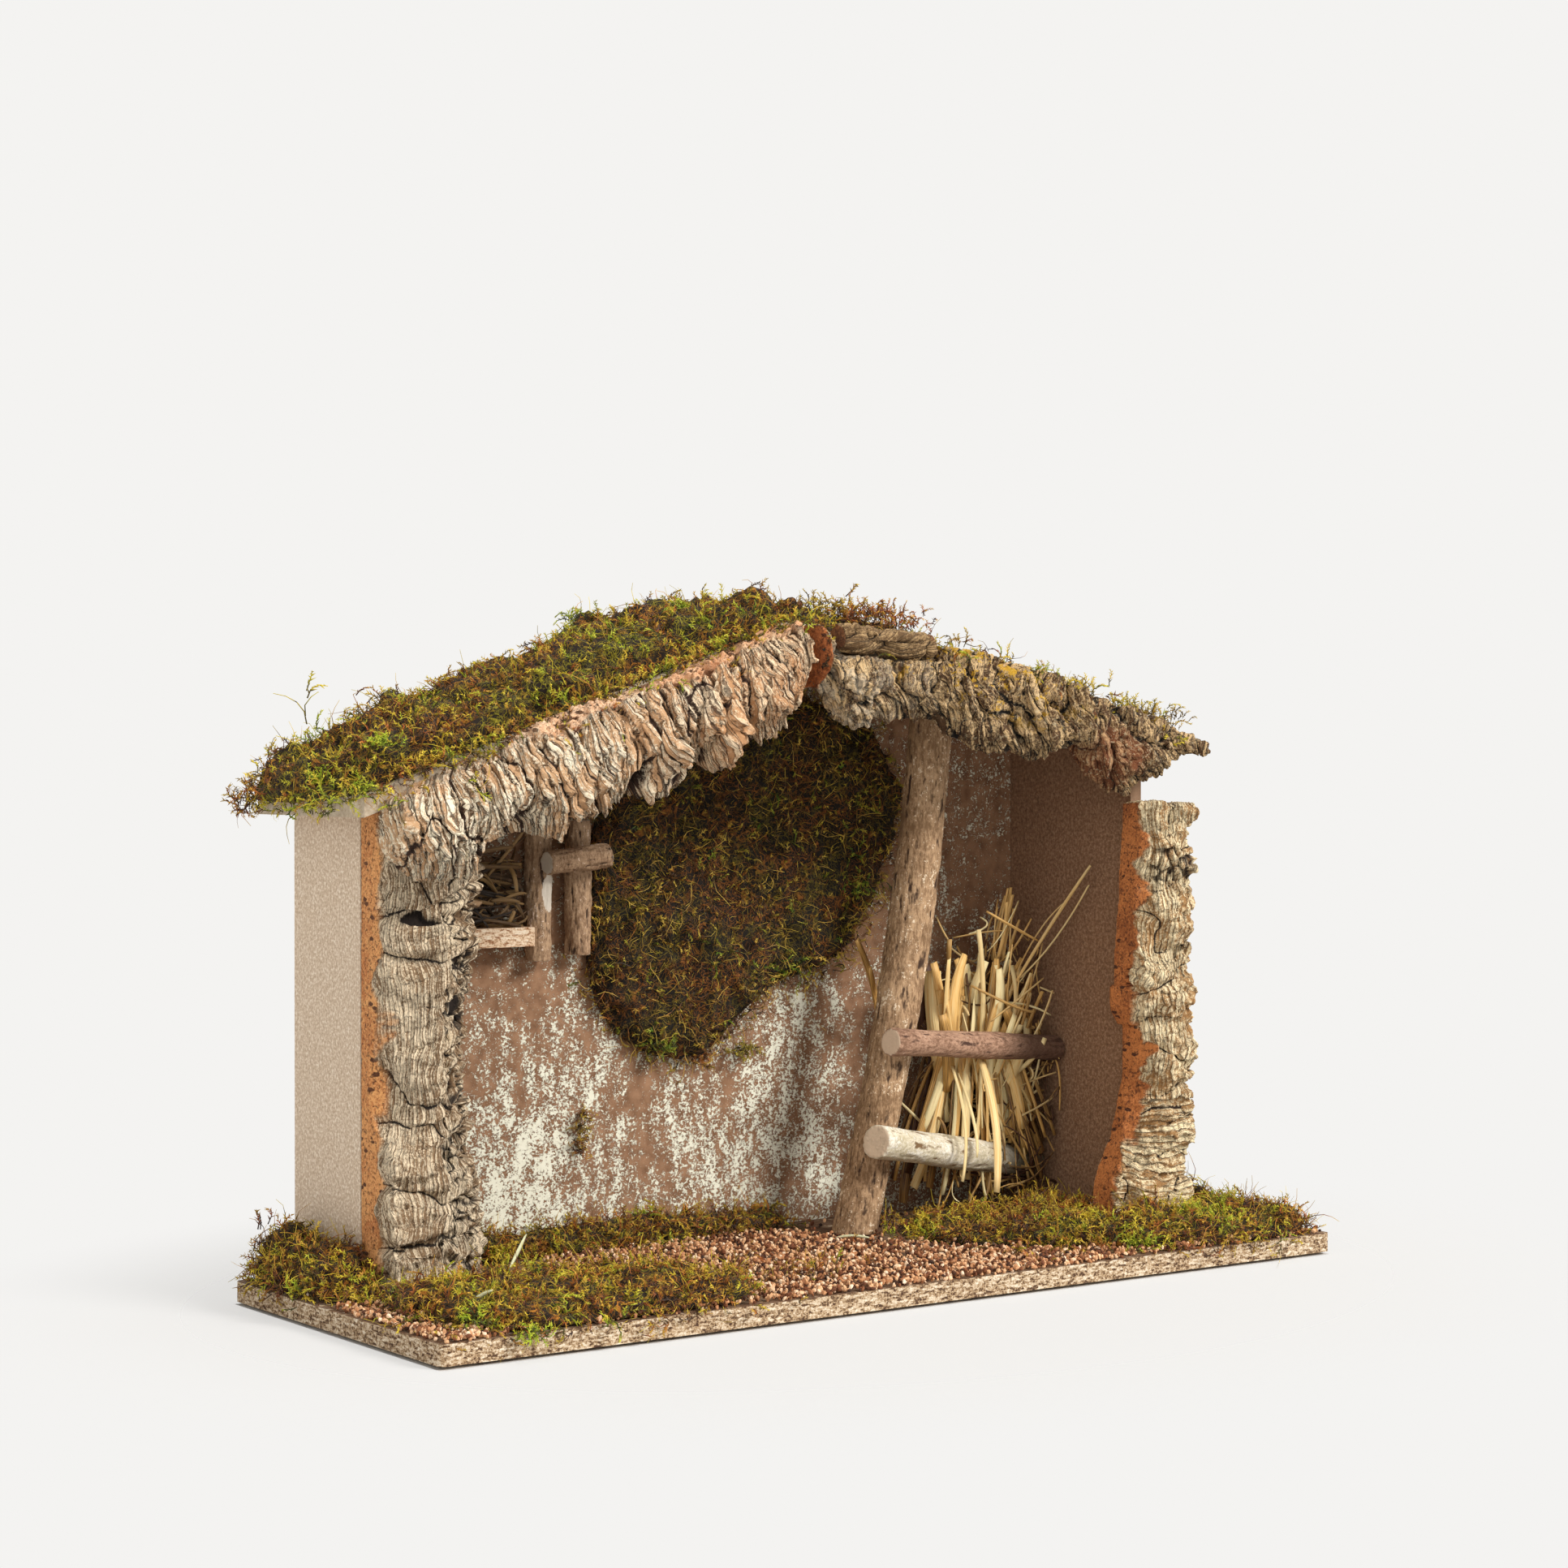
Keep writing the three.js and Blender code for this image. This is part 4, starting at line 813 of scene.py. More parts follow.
waist = Vector((146, 62, 92))
stalks = bmesh.new()


def straw(start, middle, end, width, tint):
    """One stalk along three places in mm, kept off the walls and the base, with painted shade on the stalks at
    the lower right.
    """
    places = []
    for place in (start, middle, end):
        x = min(place.x, sheaf_high.x / mm - 2)
        y = min(place.y, sheaf_high.y / mm)
        places.append(Vector((x, y, max(place.z, 12))) * mm)
    # in_shade paints shade on the stalks at the lower right, where the right column shades the sheaf.
    in_shade = ease(middle.x, 142, 172) * ease(middle.z, 84, 50)
    tint = max(0.0, tint - 0.4 * in_shade)
    roll = chance.uniform(0.9, 2.3)
    blade(stalks, places, width * mm, 0.12 * width * mm, roll, tint, chance.uniform(0.0, 0.5))


# The wide stalks that fan out upwards, from the waist to the head.
for k in range(95):
    side = chance.uniform(-1, 1)
    deep = chance.uniform(-1, 1)
    near_rail = waist + Vector((side * 25, deep * 8 - 4, chance.uniform(-22, 6)))
    rise = chance.uniform(22, 66) * (1 - 0.25 * abs(side))
    head = near_rail + Vector((rise * (0.34 * side + 0.12) + chance.gauss(0, 7), chance.gauss(-2, 6), rise))
    bend = Vector((chance.gauss(0, 5), chance.gauss(-2, 4), 0))
    # Stalks at the back are painted darker, as painted shade inside the sheaf.
    straw(near_rail, (near_rail + head) / 2 + bend, head, chance.choice((2.6, 4.2, 5.4, 7.0, 8.6)),
          max(0.0, 0.3 + 0.7 * chance.random() - 0.4 * (deep > 0.2)))
# The stalks that hang from the waist to the foot.
for k in range(120):
    side = chance.uniform(-1, 1)
    deep = chance.uniform(-1, 1)
    top = waist + Vector((side * 22, deep * 8 - 3, chance.uniform(-4, 16)))
    drop = chance.uniform(36, 72)
    foot = top + Vector((drop * (0.34 * side - 0.02) + chance.gauss(0, 5), deep * 3 - 3, -drop))
    bend = Vector((chance.gauss(0, 4), chance.gauss(-2, 3), 0))
    # Stalks at the back are painted darker, as painted shade inside the sheaf.
    straw(top, (top + foot) / 2 + bend, foot, chance.choice((2.0, 3.0, 4.2, 5.6)),
          max(0.0, 0.1 + 0.85 * chance.random() - 0.6 * (deep > 0.0)))
# Thin broken straw in between, one in seven of it up in the head.
for k in range(330):
    spot = waist + Vector((chance.gauss(12 + 12 * (k % 3 == 0), 18), chance.gauss(-4, 7),
                           chance.uniform(-70, 12) if k % 7 else chance.uniform(10, 66)))
    swing = Vector((chance.gauss(0, 9), chance.gauss(0, 4), chance.gauss(0, 11)))
    bend = Vector((chance.gauss(0, 6), chance.gauss(-2, 3), chance.gauss(0, 6)))
    straw(spot - swing, spot + bend, spot + swing, chance.uniform(0.6, 1.6), chance.uniform(0.0, 1.0))
# A tuft of thin stalks at the right of the head.
for k in range(14):
    root = waist + Vector((chance.gauss(18, 3), chance.gauss(0, 3), 46))
    tip = root + Vector((chance.gauss(5, 4), chance.gauss(-3, 3), chance.uniform(20, 38)))
    straw(root, (root + tip) / 2 + Vector((chance.gauss(0, 2), 0, 0)), tip, chance.uniform(1.0, 2.2), 0.5)
# Stalks astray: three lean on the right wall, three hang over the rails and three stick out to the left.
astray = [
    ((168, 56, 120), (176, 40, 150), (189, 16, 188), 1.7, 0.6),
    ((171, 56, 126), (182, 38, 142), (188, 16, 178), 1.4, 0.7),
    ((172, 55, 130), (178, 44, 158), (186, 30, 170), 1.1, 0.6),
    ((136, 40, 92), (132, 17, 62), (124, 12, 27), 4.6, 0.65),
    ((118, 40, 88), (114, 18, 60), (103, 13, 34), 1.8, 0.75),
    ((122, 40, 84), (118, 17, 58), (113, 14, 45), 1.6, 0.8),
    ((98, 76, 118), (86, 66, 138), (73, 60, 152), 3.6, 0.32),
    ((98, 74, 112), (88, 64, 122), (80, 58, 138), 4.4, 0.4),
    ((98, 72, 108), (90, 60, 120), (84, 56, 132), 3.6, 0.7)]
for start, middle, end, width, tint in astray:
    straw(Vector(start), Vector(middle), Vector(end), width, tint)
sheaf = new_piece("straw_stalks", stalks, straw_finish(
    "straw", paint(255, 238, 182), paint(238, 188, 108), paint(74, 40, 15)))
thicken(sheaf, 0.35 * mm)
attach(sheaf, "root")
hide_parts("straw_sheaf")


# The loft is a strip of chipboard on the back wall, with two upright twigs at its end and a short one across
# them. The left twig has a scar, where its bark is cut away.
coat_board("loft_shelf", chipboard(
    "shelf_chipboard", paint(150, 100, 64), paint(226, 192, 156), paint(246, 226, 200),
    paint(150, 106, 70)))

twig_finish = bark_finish(
    "twig_bark", paint(184, 152, 120), paint(126, 96, 70), paint(58, 38, 24), paint(240, 230, 214),
    paint(236, 210, 186), flecks=0.4, lengthways=(1.3, 1.3, 0.4))
twigs = [("loft_post_left", Vector((0, 0, 1))), ("loft_post_right", Vector((0, 0, 1))),
         ("loft_lintel", Vector((1, 0, 0.09)))]
for node, axis in twigs:
    low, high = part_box(node)
    twig = fine_copy(f"{node}_twig", node, 0.7 * mm)
    carve(twig, branch_relief(axis.normalized(), (low + high) / 2 / mm, 9, 0.6, low.x / mm))
    if node == "loft_post_left":
        scar_x, scar_z, scar_half_wide, scar_half_tall = -96, 180, 4, 9
        for vertex, cut in zip(twig.data.vertices, twig.data.attributes["cut"].data):
            away = Vector(((vertex.co.x - scar_x * mm) / scar_half_wide,
                           (vertex.co.z - scar_z * mm) / scar_half_tall)) / mm
            narrower = 0.1 * (vertex.co.z / mm - scar_z) / scar_half_tall
            if away.length < 1 - narrower and vertex.normal.y < 0:
                cut.value = 1.0
    twig.data.materials.append(twig_finish)
    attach(twig, "root")
    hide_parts(node)


# The hay on the shelf is a loose handful of thin stems that lie along it, painted dark as painted shade for the
# shade under the roof.
hay_low, hay_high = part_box("loft_hay")
hay_stems = bmesh.new()
for k in range(260):
    share = chance.random() ** 1.3
    spot = Vector((chance.uniform(hay_low.x, hay_high.x), chance.uniform(hay_low.y, hay_high.y - 1 * mm),
                   hay_low.z + share * (hay_high.z - hay_low.z)))
    swing = Vector((chance.gauss(0, 13), chance.gauss(0, 2), chance.gauss(0, 5))) * mm
    bend = Vector((0, -abs(chance.gauss(0, 2)), chance.gauss(2, 3))) * mm
    ends = [spot - swing, spot + swing]
    for end in ends:
        end.x = min(max(end.x, hay_low.x), hay_high.x)
        end.y = min(end.y, hay_high.y)
        end.z = max(end.z, hay_low.z)
    blade(hay_stems, (ends[0], spot + bend, ends[1]), chance.uniform(0.8, 2.2) * mm, 0.1 * mm,
          chance.uniform(0, 3), chance.random())
# The hay's colours are painted dark, as painted shade.
hay = new_piece("loft_hay_stems", hay_stems, straw_finish(
    "hay", paint(160, 126, 78), paint(92, 66, 36), paint(36, 24, 12)))
thicken(hay, 0.25 * mm)
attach(hay, "root")
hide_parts("loft_hay")


# The moss is dried sheet moss, pressed into wet glue in mats. Each mat is a springy tangle of feathery shoots
# and old wiry stems: olive and yellow green, rusty where it is old, with small bright tufts.
def shoot(length, curl, leaves, seed, stem=0.34):
    """One moss shoot: a thin curled stem with narrow leaves to both sides."""
    dice = random.Random(seed)
    bm = bmesh.new()
    reach_layer = bm.verts.layers.float.new("reach")
    bmesh.ops.create_cone(bm, cap_ends=True, segments=3, radius1=stem * mm, radius2=0.4 * stem * mm,
                          depth=length, matrix=Matrix.Translation((0, 0, length / 2)))
    sides = [e for e in bm.edges if abs(e.verts[0].co.z - e.verts[1].co.z) > length / 2]
    bmesh.ops.subdivide_edges(bm, edges=sides, cuts=2 if leaves else 3)
    for k in range(leaves):
        height = length * (0.2 + 0.78 * k / leaves)
        turn = Euler((math.radians(dice.uniform(35, 65)), 0, math.pi * k + dice.uniform(-0.7, 0.7)))
        reach = dice.uniform(2.0, 3.2) * (1 - 0.5 * (k / leaves) ** 2) * mm
        leaf = Matrix.Translation((0, 0, height)) @ turn.to_matrix().to_4x4()
        bmesh.ops.create_cone(bm, cap_ends=True, segments=3, radius1=0.42 * mm, radius2=0.0,
                              depth=reach, matrix=leaf @ Matrix.Translation((0, 0, reach / 2)))
    for vert in bm.verts:
        share = vert.co.z / length
        vert[reach_layer] = min(1.0, max(0.0, share))
        turn = curl * share
        spine = Vector((1 - math.cos(turn), 0, math.sin(turn))) * (length / curl)
        vert.co = spine + Vector((vert.co.x * math.cos(turn), vert.co.y, -vert.co.x * math.sin(turn)))
        vert.co.y += 0.1 * length * math.sin(5.0 * share + seed)
    mesh = bpy.data.meshes.new("shoot")
    bm.to_mesh(mesh)
    bm.free()
    mesh.attributes.new("tint", "FLOAT", "POINT")
    return mesh


def spots(mesh, count, away, dice, edge=1.0):
    """Random places over a mesh, with the way it faces there, but none where it faces its bed.

    Its sides get edge times as many places for their size as its top.
    """
    mesh.calc_loop_triangles()
    free = [t for t in mesh.loop_triangles if t.normal.dot(away) > -0.25]
    weights = [t.area * (edge if t.normal.dot(away) < 0.5 else 1.0) for t in free]
    for triangle in dice.choices(free, weights=weights, k=count):
        a, b, c = (mesh.vertices[v].co for v in triangle.vertices)
        first, second = sorted((dice.random(), dice.random()))
        yield a * first + b * (second - first) + c * (1 - second), triangle.normal.copy()


def set_plant(bm, plant, place, facing, rise, size, tint, dice):
    """Adds a copy of one of the plants at a place. Rise is its angle to the surface, in degrees."""
    turn = facing.to_track_quat("Z", "Y").to_matrix().to_4x4()
    turn = turn @ Matrix.Rotation(dice.uniform(0, 2 * math.pi), 4, "Z")
    lean = Matrix.Rotation(math.radians(90 - rise), 4, "X")
    spin = Matrix.Rotation(dice.uniform(0, 2 * math.pi), 4, "Z")
    one = dice.choice(plant).copy()
    root_depth = 1.0 * mm
    root = place - facing * root_depth
    one.transform(Matrix.Translation(root) @ turn @ lean @ spin @ Matrix.Scale(size, 4))
    one.attributes["tint"].data.foreach_set("value", [tint] * len(one.vertices))
    bm.from_mesh(one)
    bpy.data.meshes.remove(one)


def moss_finish(name, *stops):
    """Moss that takes its colour from the shoot's own tint and is dark at the root of each shoot, partly the
    old stems' own brown and partly painted shade.
    """
    finish = Finish(name)
    reach = finish.kept("reach")
    color = finish.ramp(finish.kept("tint"), *stops)
    pale = finish.mix(0.45, color, paint(226, 206, 66))
    color = finish.mix(finish.window(reach, 0.5, 1.0), color, pale)
    # The dark root is partly the old stems' own colour and partly painted shade deep in the moss.
    root = finish.mix(0.9, color, paint(24, 13, 2))
    # Blotches of painted shade stand for the hollows between clumps.
    painted_shade = finish.window(finish.grain(4.5 * mm, 3.0, 0.7), 0.5, 0.38)
    color = finish.mix(finish.window(reach - 0.45 * painted_shade, 0.08, 0.62), root, color)
    return finish.dress(color, 0.7)


def mat_finish(name, rust, olive, dark):
    """The felt of old shoots under the living ones: tangled threads over black gaps, which are painted shade.
    """
    finish = Finish(name)
    patch = finish.grain(9 * mm, 3.0, 0.65)
    light = finish.mix(finish.window(patch, 0.42, 0.6), rust, olive)
    color = dark
    height = 0.0
    # Fine threads are faint, as painted shade because they lie deep, and the widest lie on top.
    for size, share in ((1.5, 0.35), (2.1, 0.5), (2.9, 0.75), (3.7, 1.0)):
        line = finish.maths("ABSOLUTE", finish.grain(size * mm, 1.0, 0.5, None, 0.9) - 0.5)
        thread = finish.window(line, 0.035, 0.012)
        color = finish.mix(share * thread, color, light)
        height = thread * share + height
    return finish.dress(color, 1.0, height, 1.2 * mm)


def moss_tint(place, shade, dice):
    """A shoot's colour, from 0, rusty brown, to 1, bright green, in patches about a centimetre across."""
    patch = noise.noise(place / (9 * mm)) + noise.noise(place / (26 * mm) + Vector((9, 0, 0)))
    return min(0.9, max(0.02, 0.44 - shade + 0.6 * patch + dice.gauss(0, 0.14)))


shoots = [shoot(length * mm, curl, leaves, seed) for length, curl, leaves, seed in
          [(10, 1.2, 8, 1), (9, -1.6, 7, 2), (12, 1.9, 9, 3), (8, 0.8, 7, 4), (11, -2.4, 8, 5), (9, 2.2, 7, 6)]]
stems = [shoot(length * mm, curl, 0, seed, 0.28) for length, curl, seed in
         [(17, 1.6, 7), (14, -2.6, 8), (20, 1.1, 9)]]
green_bed = mat_finish("green_moss_bed", paint(168, 108, 34), paint(150, 138, 34), paint(26, 15, 4))
brown_bed = mat_finish("brown_moss_bed", paint(132, 80, 28), paint(106, 90, 26), paint(15, 8, 2))
green_moss = moss_finish(
    "green_moss", (0.0, paint(96, 48, 14)), (0.14, paint(184, 100, 34)), (0.3, paint(156, 112, 24)),
    (0.46, paint(208, 178, 40)), (0.62, paint(166, 170, 30)), (0.82, paint(146, 162, 24)),
    (1.0, paint(158, 182, 28)))
brown_moss = moss_finish(
    "brown_moss", (0.0, paint(64, 32, 10)), (0.2, paint(166, 98, 34)), (0.36, paint(104, 74, 20)),
    (0.5, paint(212, 170, 76)), (0.6, paint(138, 120, 30)), (0.75, paint(106, 114, 24)),
    (1.0, paint(86, 138, 24)))
up = Vector((0, 0, 1))
forward = Vector((0, -1, 0))
green = (green_bed, green_moss, "green_moss")
brown = (brown_bed, brown_moss, "brown_moss")

# Each mat: its node, how many plants it has and which share of them is wiry, how many bright tufts it has, the
# way it faces, its moss, how much darker it is, how far its plants rise in degrees, how lumpy its bed is in mm,
# and how far its edge strays in mm.
mats = [
    ("roof_moss_left", 2350, 0.25, 8, up, green, 0.06, 55, 6.5, 9),
    ("roof_moss_right", 1900, 0.25, 5, up, green, 0.12, 50, 4.5, 8),
    ("wall_moss", 3850, 0.62, 3, forward, brown, 0.04, 45, 5.0, 12),
    ("ground_moss_front_left", 2050, 0.35, 5, up, green, 0.16, 55, 5.0, 12),
    ("ground_moss_left_end", 900, 0.35, 1, up, green, 0.18, 60, 4.5, 8),
    ("ground_moss_wall_foot", 1500, 0.35, 2, up, green, 0.2, 60, 3.6, 10),
    ("ground_moss_manger", 1500, 0.35, 2, up, green, 0.2, 60, 5.0, 12),
    ("ground_moss_front_right", 1750, 0.35, 3, up, green, 0.14, 55, 4.4, 10),
    ("ground_moss_right_end", 450, 0.3, 0, up, green, 0.14, 55, 3.0, 3),
]

# Clumps and sprigs that stand out from the rest: the place in mm, the size and the tint.
clumps_at = {
    "roof_moss_left": [((-121, 32, 279), 5, 0.95), ((-212, 60, 250), 5, 0.12), ((-160, 80, 266), 5, 0.1)],
    "roof_moss_right": [((38, 6, 312), 9, 0.08), ((56, 2, 307), 7, 0.14), ((14, 6, 313), 8, 0.35),
                        ((26, -8, 310), 6, 0.12), ((204, -14, 262), 8, 0.35), ((188, -17, 267), 7, 0.5),
                        ((122, -16, 282), 5, 0.7), ((146, -17, 277), 8, 0.45), ((80, -16, 290), 4, 0.85)],
    "ground_moss_manger": [((118, 22, 14), 8, 0.2), ((146, 14, 16), 9, 0.3), ((172, 4, 15), 8, 0.15),
                           ((100, 30, 12), 7, 0.3)],
    "ground_moss_front_left": [((-118, -72, 16), 4, 0.95), ((-88, -62, 14), 4, 0.4)],
    "ground_moss_wall_foot": [((-40, 78, 20), 3, 0.9)],
    "wall_moss": [((-31, 84, 103), 5, 0.85), ((21, 84, 98), 4, 0.6), ((-6, 85, 97), 3, 0.2),
                  ((-72, 87, 72), 1.5, 0.3), ((-73, 87, 66), 1.8, 0.4), ((-73, 87, 60), 1.6, 0.3),
                  ((-72, 87, 55), 1, 0.2)],
}
sprigs_at = {
    "roof_moss_left": [((-246, 30, 258), 1.3, 0.5), ((-243, 34, 262), 1.2, 0.55), ((-219, 36, 262), 1.0, 0.2)],
    "roof_moss_right": [((44, 30, 312), 1.1, 0.3), ((186, 30, 264), 0.9, 0.6)],
    "ground_moss_left_end": [((-244, 84, 24), 1.1, 0.05), ((-240, 88, 24), 1.0, 0.05),
                             ((-236, 86, 26), 1.0, 0.1)],
    "ground_moss_right_end": [((240, 40, 16), 1.0, 0.3), ((242, 60, 16), 1.0, 0.5)],
}

# Where thin moss strays from a mat over the base: the middle and the spread in mm, and how many shoots.
strays_at = {
    "ground_moss_front_left": [(-216, -62, 14, 18, 120), (-160, -12, 24, 12, 170),
                               (-45, -42, 24, 13, 120)],
    "ground_moss_left_end": [(-228, 16, 9, 26, 130)],
    "ground_moss_wall_foot": [(-70, 62, 55, 9, 120)],
    "ground_moss_manger": [(98, 38, 14, 9, 110), (80, 4, 20, 10, 60)],
    "ground_moss_front_right": [(110, -62, 22, 12, 90)],
}


def eave_spots(node, dice):
    """Places along the front edge of a roof mat and its outer eave, where moss hangs over the bark."""
    low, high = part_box(node)
    left = node.endswith("left")
    slope = left_slope if left else right_slope
    for k in range(620 if left else 260):
        x = dice.uniform(low.x, high.x) / mm
        if not left and noise.noise((x / 9, 4.0, 2.0)) < 0.0:
            continue
        lift = 3 if left else 15 * ease(x, 42, 78) - 0.04 * max(0, x - 100)
        thick_here = max(0.3, 0.7 + 1.4 * noise.noise((x / 12, 1.0, 5.0)))
        hang = min(30, dice.uniform(0, 27) * thick_here)
        drop = 0.9 * max(0, hang - 15)
        place = Vector((x, -5 - 0.95 * hang, ridge_z + slope * (x - ridge_x) + lift - drop)) * mm
        yield place, Vector((0, -0.75, 0.6)).normalized()
    outer = low.x if left else high.x
    out = -1 if left else 1
    for k in range(130 if left else 60):
        drop = dice.uniform(0, 7)
        z = ridge_z + slope * (outer / mm - ridge_x)
        x = outer / mm + out * (1 - 0.3 * drop)
        place = Vector((x, dice.uniform(low.y, high.y) / mm, z + 4 - drop)) * mm
        yield place, Vector((out * 0.8, 0, 0.5)).normalized()


free_reach = 8 * mm


def drawn_in(value, low, high):
    """Draws a place in by more than half of what it stands past two limits, beyond a free reach."""
    past = max(value - high, low - value) - free_reach
    return value - math.copysign(0.6 * past, value) if past > 0 else value


bed_net = 2.2 * mm
side_crowd = 2.2

# How far loose moss may lie to the left, right, front and back of the base's middle, its level there and over
# the front edge, and where the loose moss on the back wall lies, all in mm.
base_left, base_right, base_front, base_back, base_level = -246, 244, -92, 82, 12
front_limit, level_inside, level_at_edge, wall_moss_y = -95, 12.5, 8, 86
for node, count, wiry, tufts, away, moss_kind, shade, rise, lump, stray in mats:
    moss_bed, moss_material, moss_slot = moss_kind
    dice = random.Random(node)
    bed = fine_copy(f"{node}_bed", node, bed_net)

    def clumps(place, facing):
        clump = noise.noise(place / 26) + 0.7 * noise.noise(place / 12) + 0.5 * noise.noise(place / 5)
        clump = clump + 0.25 * noise.noise(place / 2.4) - 0.25
        return lump * clump * ease(facing.dot(away), -0.4, 0.3), 0.0

    carve(bed, clumps, ("reach",))
    bm = bmesh.new()
    bm.from_mesh(bed.data)
    bm.verts.layers.float.new("tint")
    places = list(spots(bed.data, count, away, dice, side_crowd))
    for k, (place, facing) in enumerate(places):
        if facing.dot(away) < 0.5:
            push = stray * dice.random() ** 2 * mm
            places[k] = place + facing * push - away * (0.5 * push), facing
    if node.startswith("roof"):
        places += eave_spots(node, dice)
    if node.startswith("ground"):
        for place, facing in dice.sample(places, count // 7):
            x = max(-base_right * mm, min(base_right * mm, place.x + dice.gauss(0, 14) * mm))
            y = max(front_limit * mm, min(base_back * mm, place.y + dice.gauss(0, 12) * mm))
            level = level_inside if y > base_front * mm else level_at_edge
            places.append((Vector((x, y, level * mm)), up))
    for x, y, wide, deep, shoots_here in strays_at.get(node, []):
        for k in range(shoots_here):
            spot_x, spot_y = max(base_left, dice.gauss(x, wide)), max(base_front, dice.gauss(y, deep))
            places.append((Vector((spot_x, spot_y, base_level)) * mm, up))
    if node == "wall_moss":
        for place, facing in dice.sample(places, 420):
            offset = Vector((dice.gauss(0, 8), 0, dice.gauss(0, 8))) * mm
            places.append((Vector((place.x, wall_moss_y * mm, place.z)) + offset, forward))
    for place, facing in places:
        tint = moss_tint(place, shade, dice)
        if dice.random() < wiry:
            old_tint = tint * 0.6 if dice.random() < 0.75 else 0.5
            lift = dice.uniform(0, rise)
            set_plant(bm, stems, place, facing, lift, dice.uniform(0.4, 0.95), old_tint, dice)
        else:
            size = dice.uniform(0.55, 1.05)
            set_plant(bm, shoots, place, facing, dice.uniform(2, rise), size, tint, dice)
    clumps_here = [(middle, facing, 3.0, dice.uniform(0.86, 1.0)) for middle, facing in places[:tufts]]
    clumps_here += [(Vector(spot) * mm, away, spread, tint) for spot, spread, tint in clumps_at.get(node, [])]
    for middle, facing, spread, tint in clumps_here:
        for k in range(round(9 * spread)):
            offset = Vector((dice.gauss(0, spread), dice.gauss(0, spread), dice.gauss(0, 0.3 * spread)))
            lift = dice.uniform(30, 80)
            set_plant(bm, shoots, middle + offset * mm, facing, lift, dice.uniform(0.55, 0.9), tint, dice)
    for spot, size, tint in sprigs_at.get(node, []):
        for plants, lift, raised in ((stems, 80, 0), (stems, 86, -15), (shoots, 70, 9)):
            place = Vector(spot) * mm + away * (raised * size * mm)
            set_plant(bm, plants, place, away, lift, size, tint, dice)
    for vert in bm.verts:
        vert.co.y = drawn_in(vert.co.y, cad_box[0][1], cad_box[1][1])
    bed_faces = len(bed.data.polygons)
    bpy.data.objects.remove(bed)
    bm.faces.ensure_lookup_table()
    for face in bm.faces[bed_faces:]:
        face.material_index = 1
    moss = new_piece(f"{node}_shoots", bm, moss_bed)
    moss.data.materials.append(moss_material)
    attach(moss, "root")
    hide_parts(node)


# A green blade of grass came with the roof moss, and a few broken straws lie on the base.
litter = bmesh.new()
for start, middle, end, width, tint in [
        ((-86, 24, 283), (-66, 22, 299), (-48, 26, 300), 3.0, 0.9),
        ((-175, -20, 22), (-165, -14, 31), (-158, -6, 34), 2.2, 1.0),
        ((-222, -62, 16), (-216, -66, 22), (-212, -70, 24), 2.0, 0.8),
        ((30, 20, 12), (36, 16, 14), (44, 10, 12), 1.6, 0.9)]:
    blade(litter, [Vector(spot) * mm for spot in (start, middle, end)], width * mm, 0.3 * mm, 1.4, tint, 0.8)
litter_piece = new_piece("stray_blades", litter, straw_finish(
    "stray_blade", paint(226, 226, 184), paint(196, 190, 136), paint(150, 130, 70)))
thicken(litter_piece, 0.3 * mm)
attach(litter_piece, "root")


# Ground cork is strewn over the wet glue in the middle of the base and shaken off, so that one layer of crumbs
# is left, two or three millimetres across. It is thinner along the front and left edges and between the mats.
in_the_sheet, along_the_edges, between_the_mats = 5400, 1700, 1300
edge_strip = 22 * mm
crumbs = bmesh.new()
crumbs.verts.layers.float.new("tint")
pebbles = []
for k in range(4):
    pebble = bmesh.new()
    bmesh.ops.create_icosphere(pebble, subdivisions=1, radius=1.0)
    for vertex in pebble.verts:
        vertex.co *= 1 + 0.35 * noise.noise(vertex.co * 1.3 + Vector((7 * k, 0, 0)))
    mesh = bpy.data.meshes.new("pebble")
    pebble.to_mesh(mesh)
    pebble.free()
    mesh.attributes.new("tint", "FLOAT", "POINT")
    pebbles.append(mesh)
dice = random.Random(5)
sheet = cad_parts["cork_granules"].data
rim_low, rim_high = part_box("base_board")
places = [place for place, facing in spots(sheet, in_the_sheet, up, dice)]
for k in range(along_the_edges):
    inward = edge_strip * dice.random() ** 1.6
    x = dice.uniform(rim_low.x, rim_high.x) * 0.985
    places.append(Vector((x, rim_low.y + 2 * mm + inward, 0)))
    if k % 3 == 0:
        places[-1] = Vector((rim_low.x + 2.5 * mm + inward, dice.uniform(rim_low.y, 0.0), 0))
for k in range(between_the_mats):
    x, y = dice.uniform(rim_low.x, rim_high.x), dice.uniform(rim_low.y, 80 * mm)
    places.append(Vector((x * 0.98, y * 0.98, 0)))
for place in places:
    one = dice.choice(pebbles).copy()
    spin = Euler([dice.uniform(0, 2 * math.pi) for _ in range(3)]).to_matrix().to_4x4()
    squat = Matrix.Diagonal((dice.uniform(0.7, 1.5), dice.uniform(0.6, 1.1), dice.uniform(0.5, 0.9), 1))
    size = Matrix.Scale(dice.uniform(0.75, 1.4) * mm, 4)
    height = rim_high.z + dice.uniform(0.4, 3.2) * mm
    one.transform(Matrix.Translation((place.x, place.y, height)) @ spin @ squat @ size)
    one.attributes["tint"].data.foreach_set("value", [dice.random()] * len(one.vertices))
    crumbs.from_mesh(one)
    bpy.data.meshes.remove(one)
crumb_finish = Finish("ground_cork")
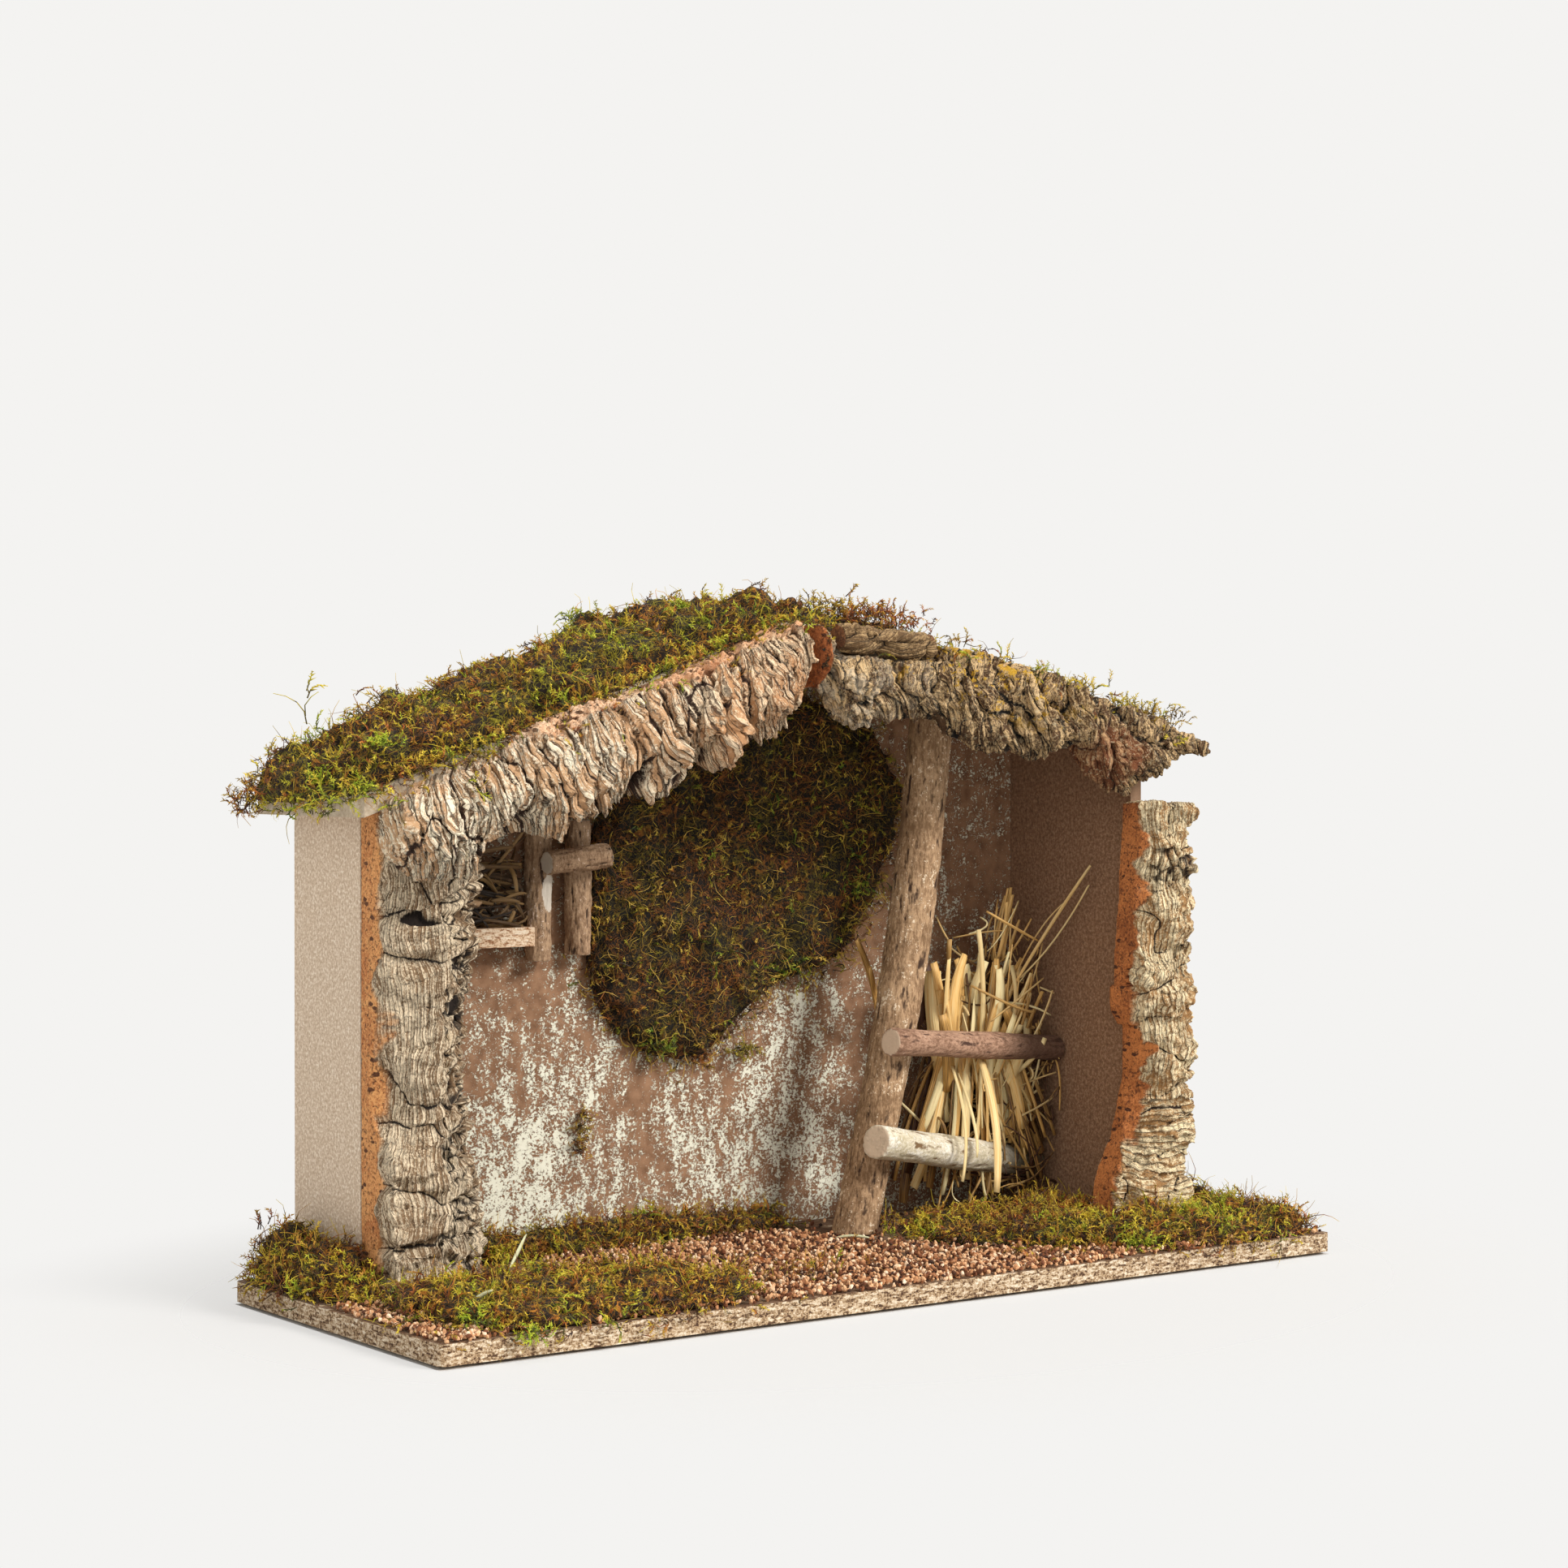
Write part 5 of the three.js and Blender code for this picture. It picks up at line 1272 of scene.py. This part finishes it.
crumb_color = crumb_finish.ramp(
    crumb_finish.kept("tint") + 0.2 * (crumb_finish.grain(1.0 * mm) - 0.5),
    (0.0, paint(44, 22, 10)), (0.3, paint(122, 70, 40)), (0.52, paint(192, 134, 90)),
    (0.85, paint(238, 192, 146)), (1.0, paint(253, 228, 198)))
granules = new_piece("cork_crumbs", crumbs, crumb_finish.dress(crumb_color, 0.9))
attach(granules, "root")
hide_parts("cork_granules")


# The stage is a pale floor that fades into a pale surround. A large soft lamp lights it from the front right,
# with a broad one above and a fill from the left. The floor lies a little low and is never clear under the
# base, so that a dark line shows where the base stands.
surround = paint(244, 243, 241)
floor_drop = 1.5 * mm
floor_mesh = bmesh.new()
bmesh.ops.create_grid(floor_mesh, x_segments=1, y_segments=1, size=3.0,
                      matrix=Matrix.Translation((0, 0, -floor_drop)))
floor_finish = Finish("pale_floor")
floor_finish.dress(paint(226, 226, 225), 0.9)
distance = floor_finish.node("ShaderNodeVectorMath", {"operation": "LENGTH"},
                             {0: floor_finish.stretch(0.8, 1.0, 0.0)}).out("Value")
eye = floor_finish.node("ShaderNodeLightPath").out("Is Camera Ray")
off_middle_x = floor_finish.maths("ABSOLUTE", floor_finish.along("X"))
under_x = floor_finish.window(off_middle_x, 250.5 * mm, 249.5 * mm)
off_middle_y = floor_finish.maths("ABSOLUTE", floor_finish.along("Y"))
under_y = floor_finish.window(off_middle_y, 94 * mm, 93 * mm)
clear_near, clear_start, clear_end = 0.62, 0.19, 0.36
fade = clear_near + (1 - clear_near) * floor_finish.window(distance, clear_start, clear_end)
fade = fade * (1.0 - under_x * under_y) * eye
clear = floor_finish.node("ShaderNodeBsdfTransparent").out("BSDF")
seen = floor_finish.node("ShaderNodeMixShader", None, {
    0: fade, 1: Wire(floor_finish, floor_finish.shader.outputs["BSDF"]), 2: clear}).out("Shader")
floor_finish.feed(floor_finish.nodes["Material Output"].inputs["Surface"], seen)
floor = new_piece("floor", floor_mesh, floor_finish.material)

world = bpy.data.worlds.new("surround")
bpy.context.scene.world = world
world.use_nodes = True
wires = world.node_tree
path = wires.nodes.new("ShaderNodeLightPath")
backdrop = wires.nodes.new("ShaderNodeBackground")
backdrop.inputs["Color"].default_value = surround
glow = wires.nodes["Background"]
glow.inputs["Color"].default_value = (1.0, 0.98, 0.95, 1.0)
glow.inputs["Strength"].default_value = 0.2
shows_backdrop = path.outputs["Is Camera Ray"]
for ray in ("Is Glossy Ray", "Is Transmission Ray"):
    larger = wires.nodes.new("ShaderNodeMath")
    larger.operation = "MAXIMUM"
    wires.links.new(shows_backdrop, larger.inputs[0])
    wires.links.new(path.outputs[ray], larger.inputs[1])
    shows_backdrop = larger.outputs[0]
blend = wires.nodes.new("ShaderNodeMixShader")
wires.links.new(shows_backdrop, blend.inputs[0])
wires.links.new(glow.outputs[0], blend.inputs[1])
wires.links.new(backdrop.outputs[0], blend.inputs[2])
wires.links.new(blend.outputs[0], wires.nodes["World Output"].inputs["Surface"])


def sun(name, toward, spread, strength):
    """A broad lamp far away in one direction."""
    light = bpy.data.lights.new(name, "SUN")
    light.angle = math.radians(spread)
    light.energy = strength
    light.color = (1.0, 0.97, 0.93)
    lamp = bpy.data.objects.new(name, light)
    lamp.rotation_euler = Vector(toward).to_track_quat("Z", "Y").to_euler()
    bpy.context.scene.collection.objects.link(lamp)


sun("key", (0.5, -0.95, 0.7), 20, 3.15)
sun("top", (0.2, -0.1, 1.0), 50, 0.9)
sun("fill", (-0.9, -0.55, 0.35), 60, 1.25)

camera = bpy.data.cameras.new("camera")
camera.sensor_width = 36
camera.lens = 70.90
viewpoint = bpy.data.objects.new("camera", camera)
viewpoint.location = (-0.854623, -1.169968, 0.242742)
viewpoint.rotation_euler = (math.radians(89.516), 0, math.radians(-35.681))
bpy.context.scene.collection.objects.link(viewpoint)
bpy.context.scene.camera = viewpoint
bpy.context.scene.view_settings.view_transform = "Standard"
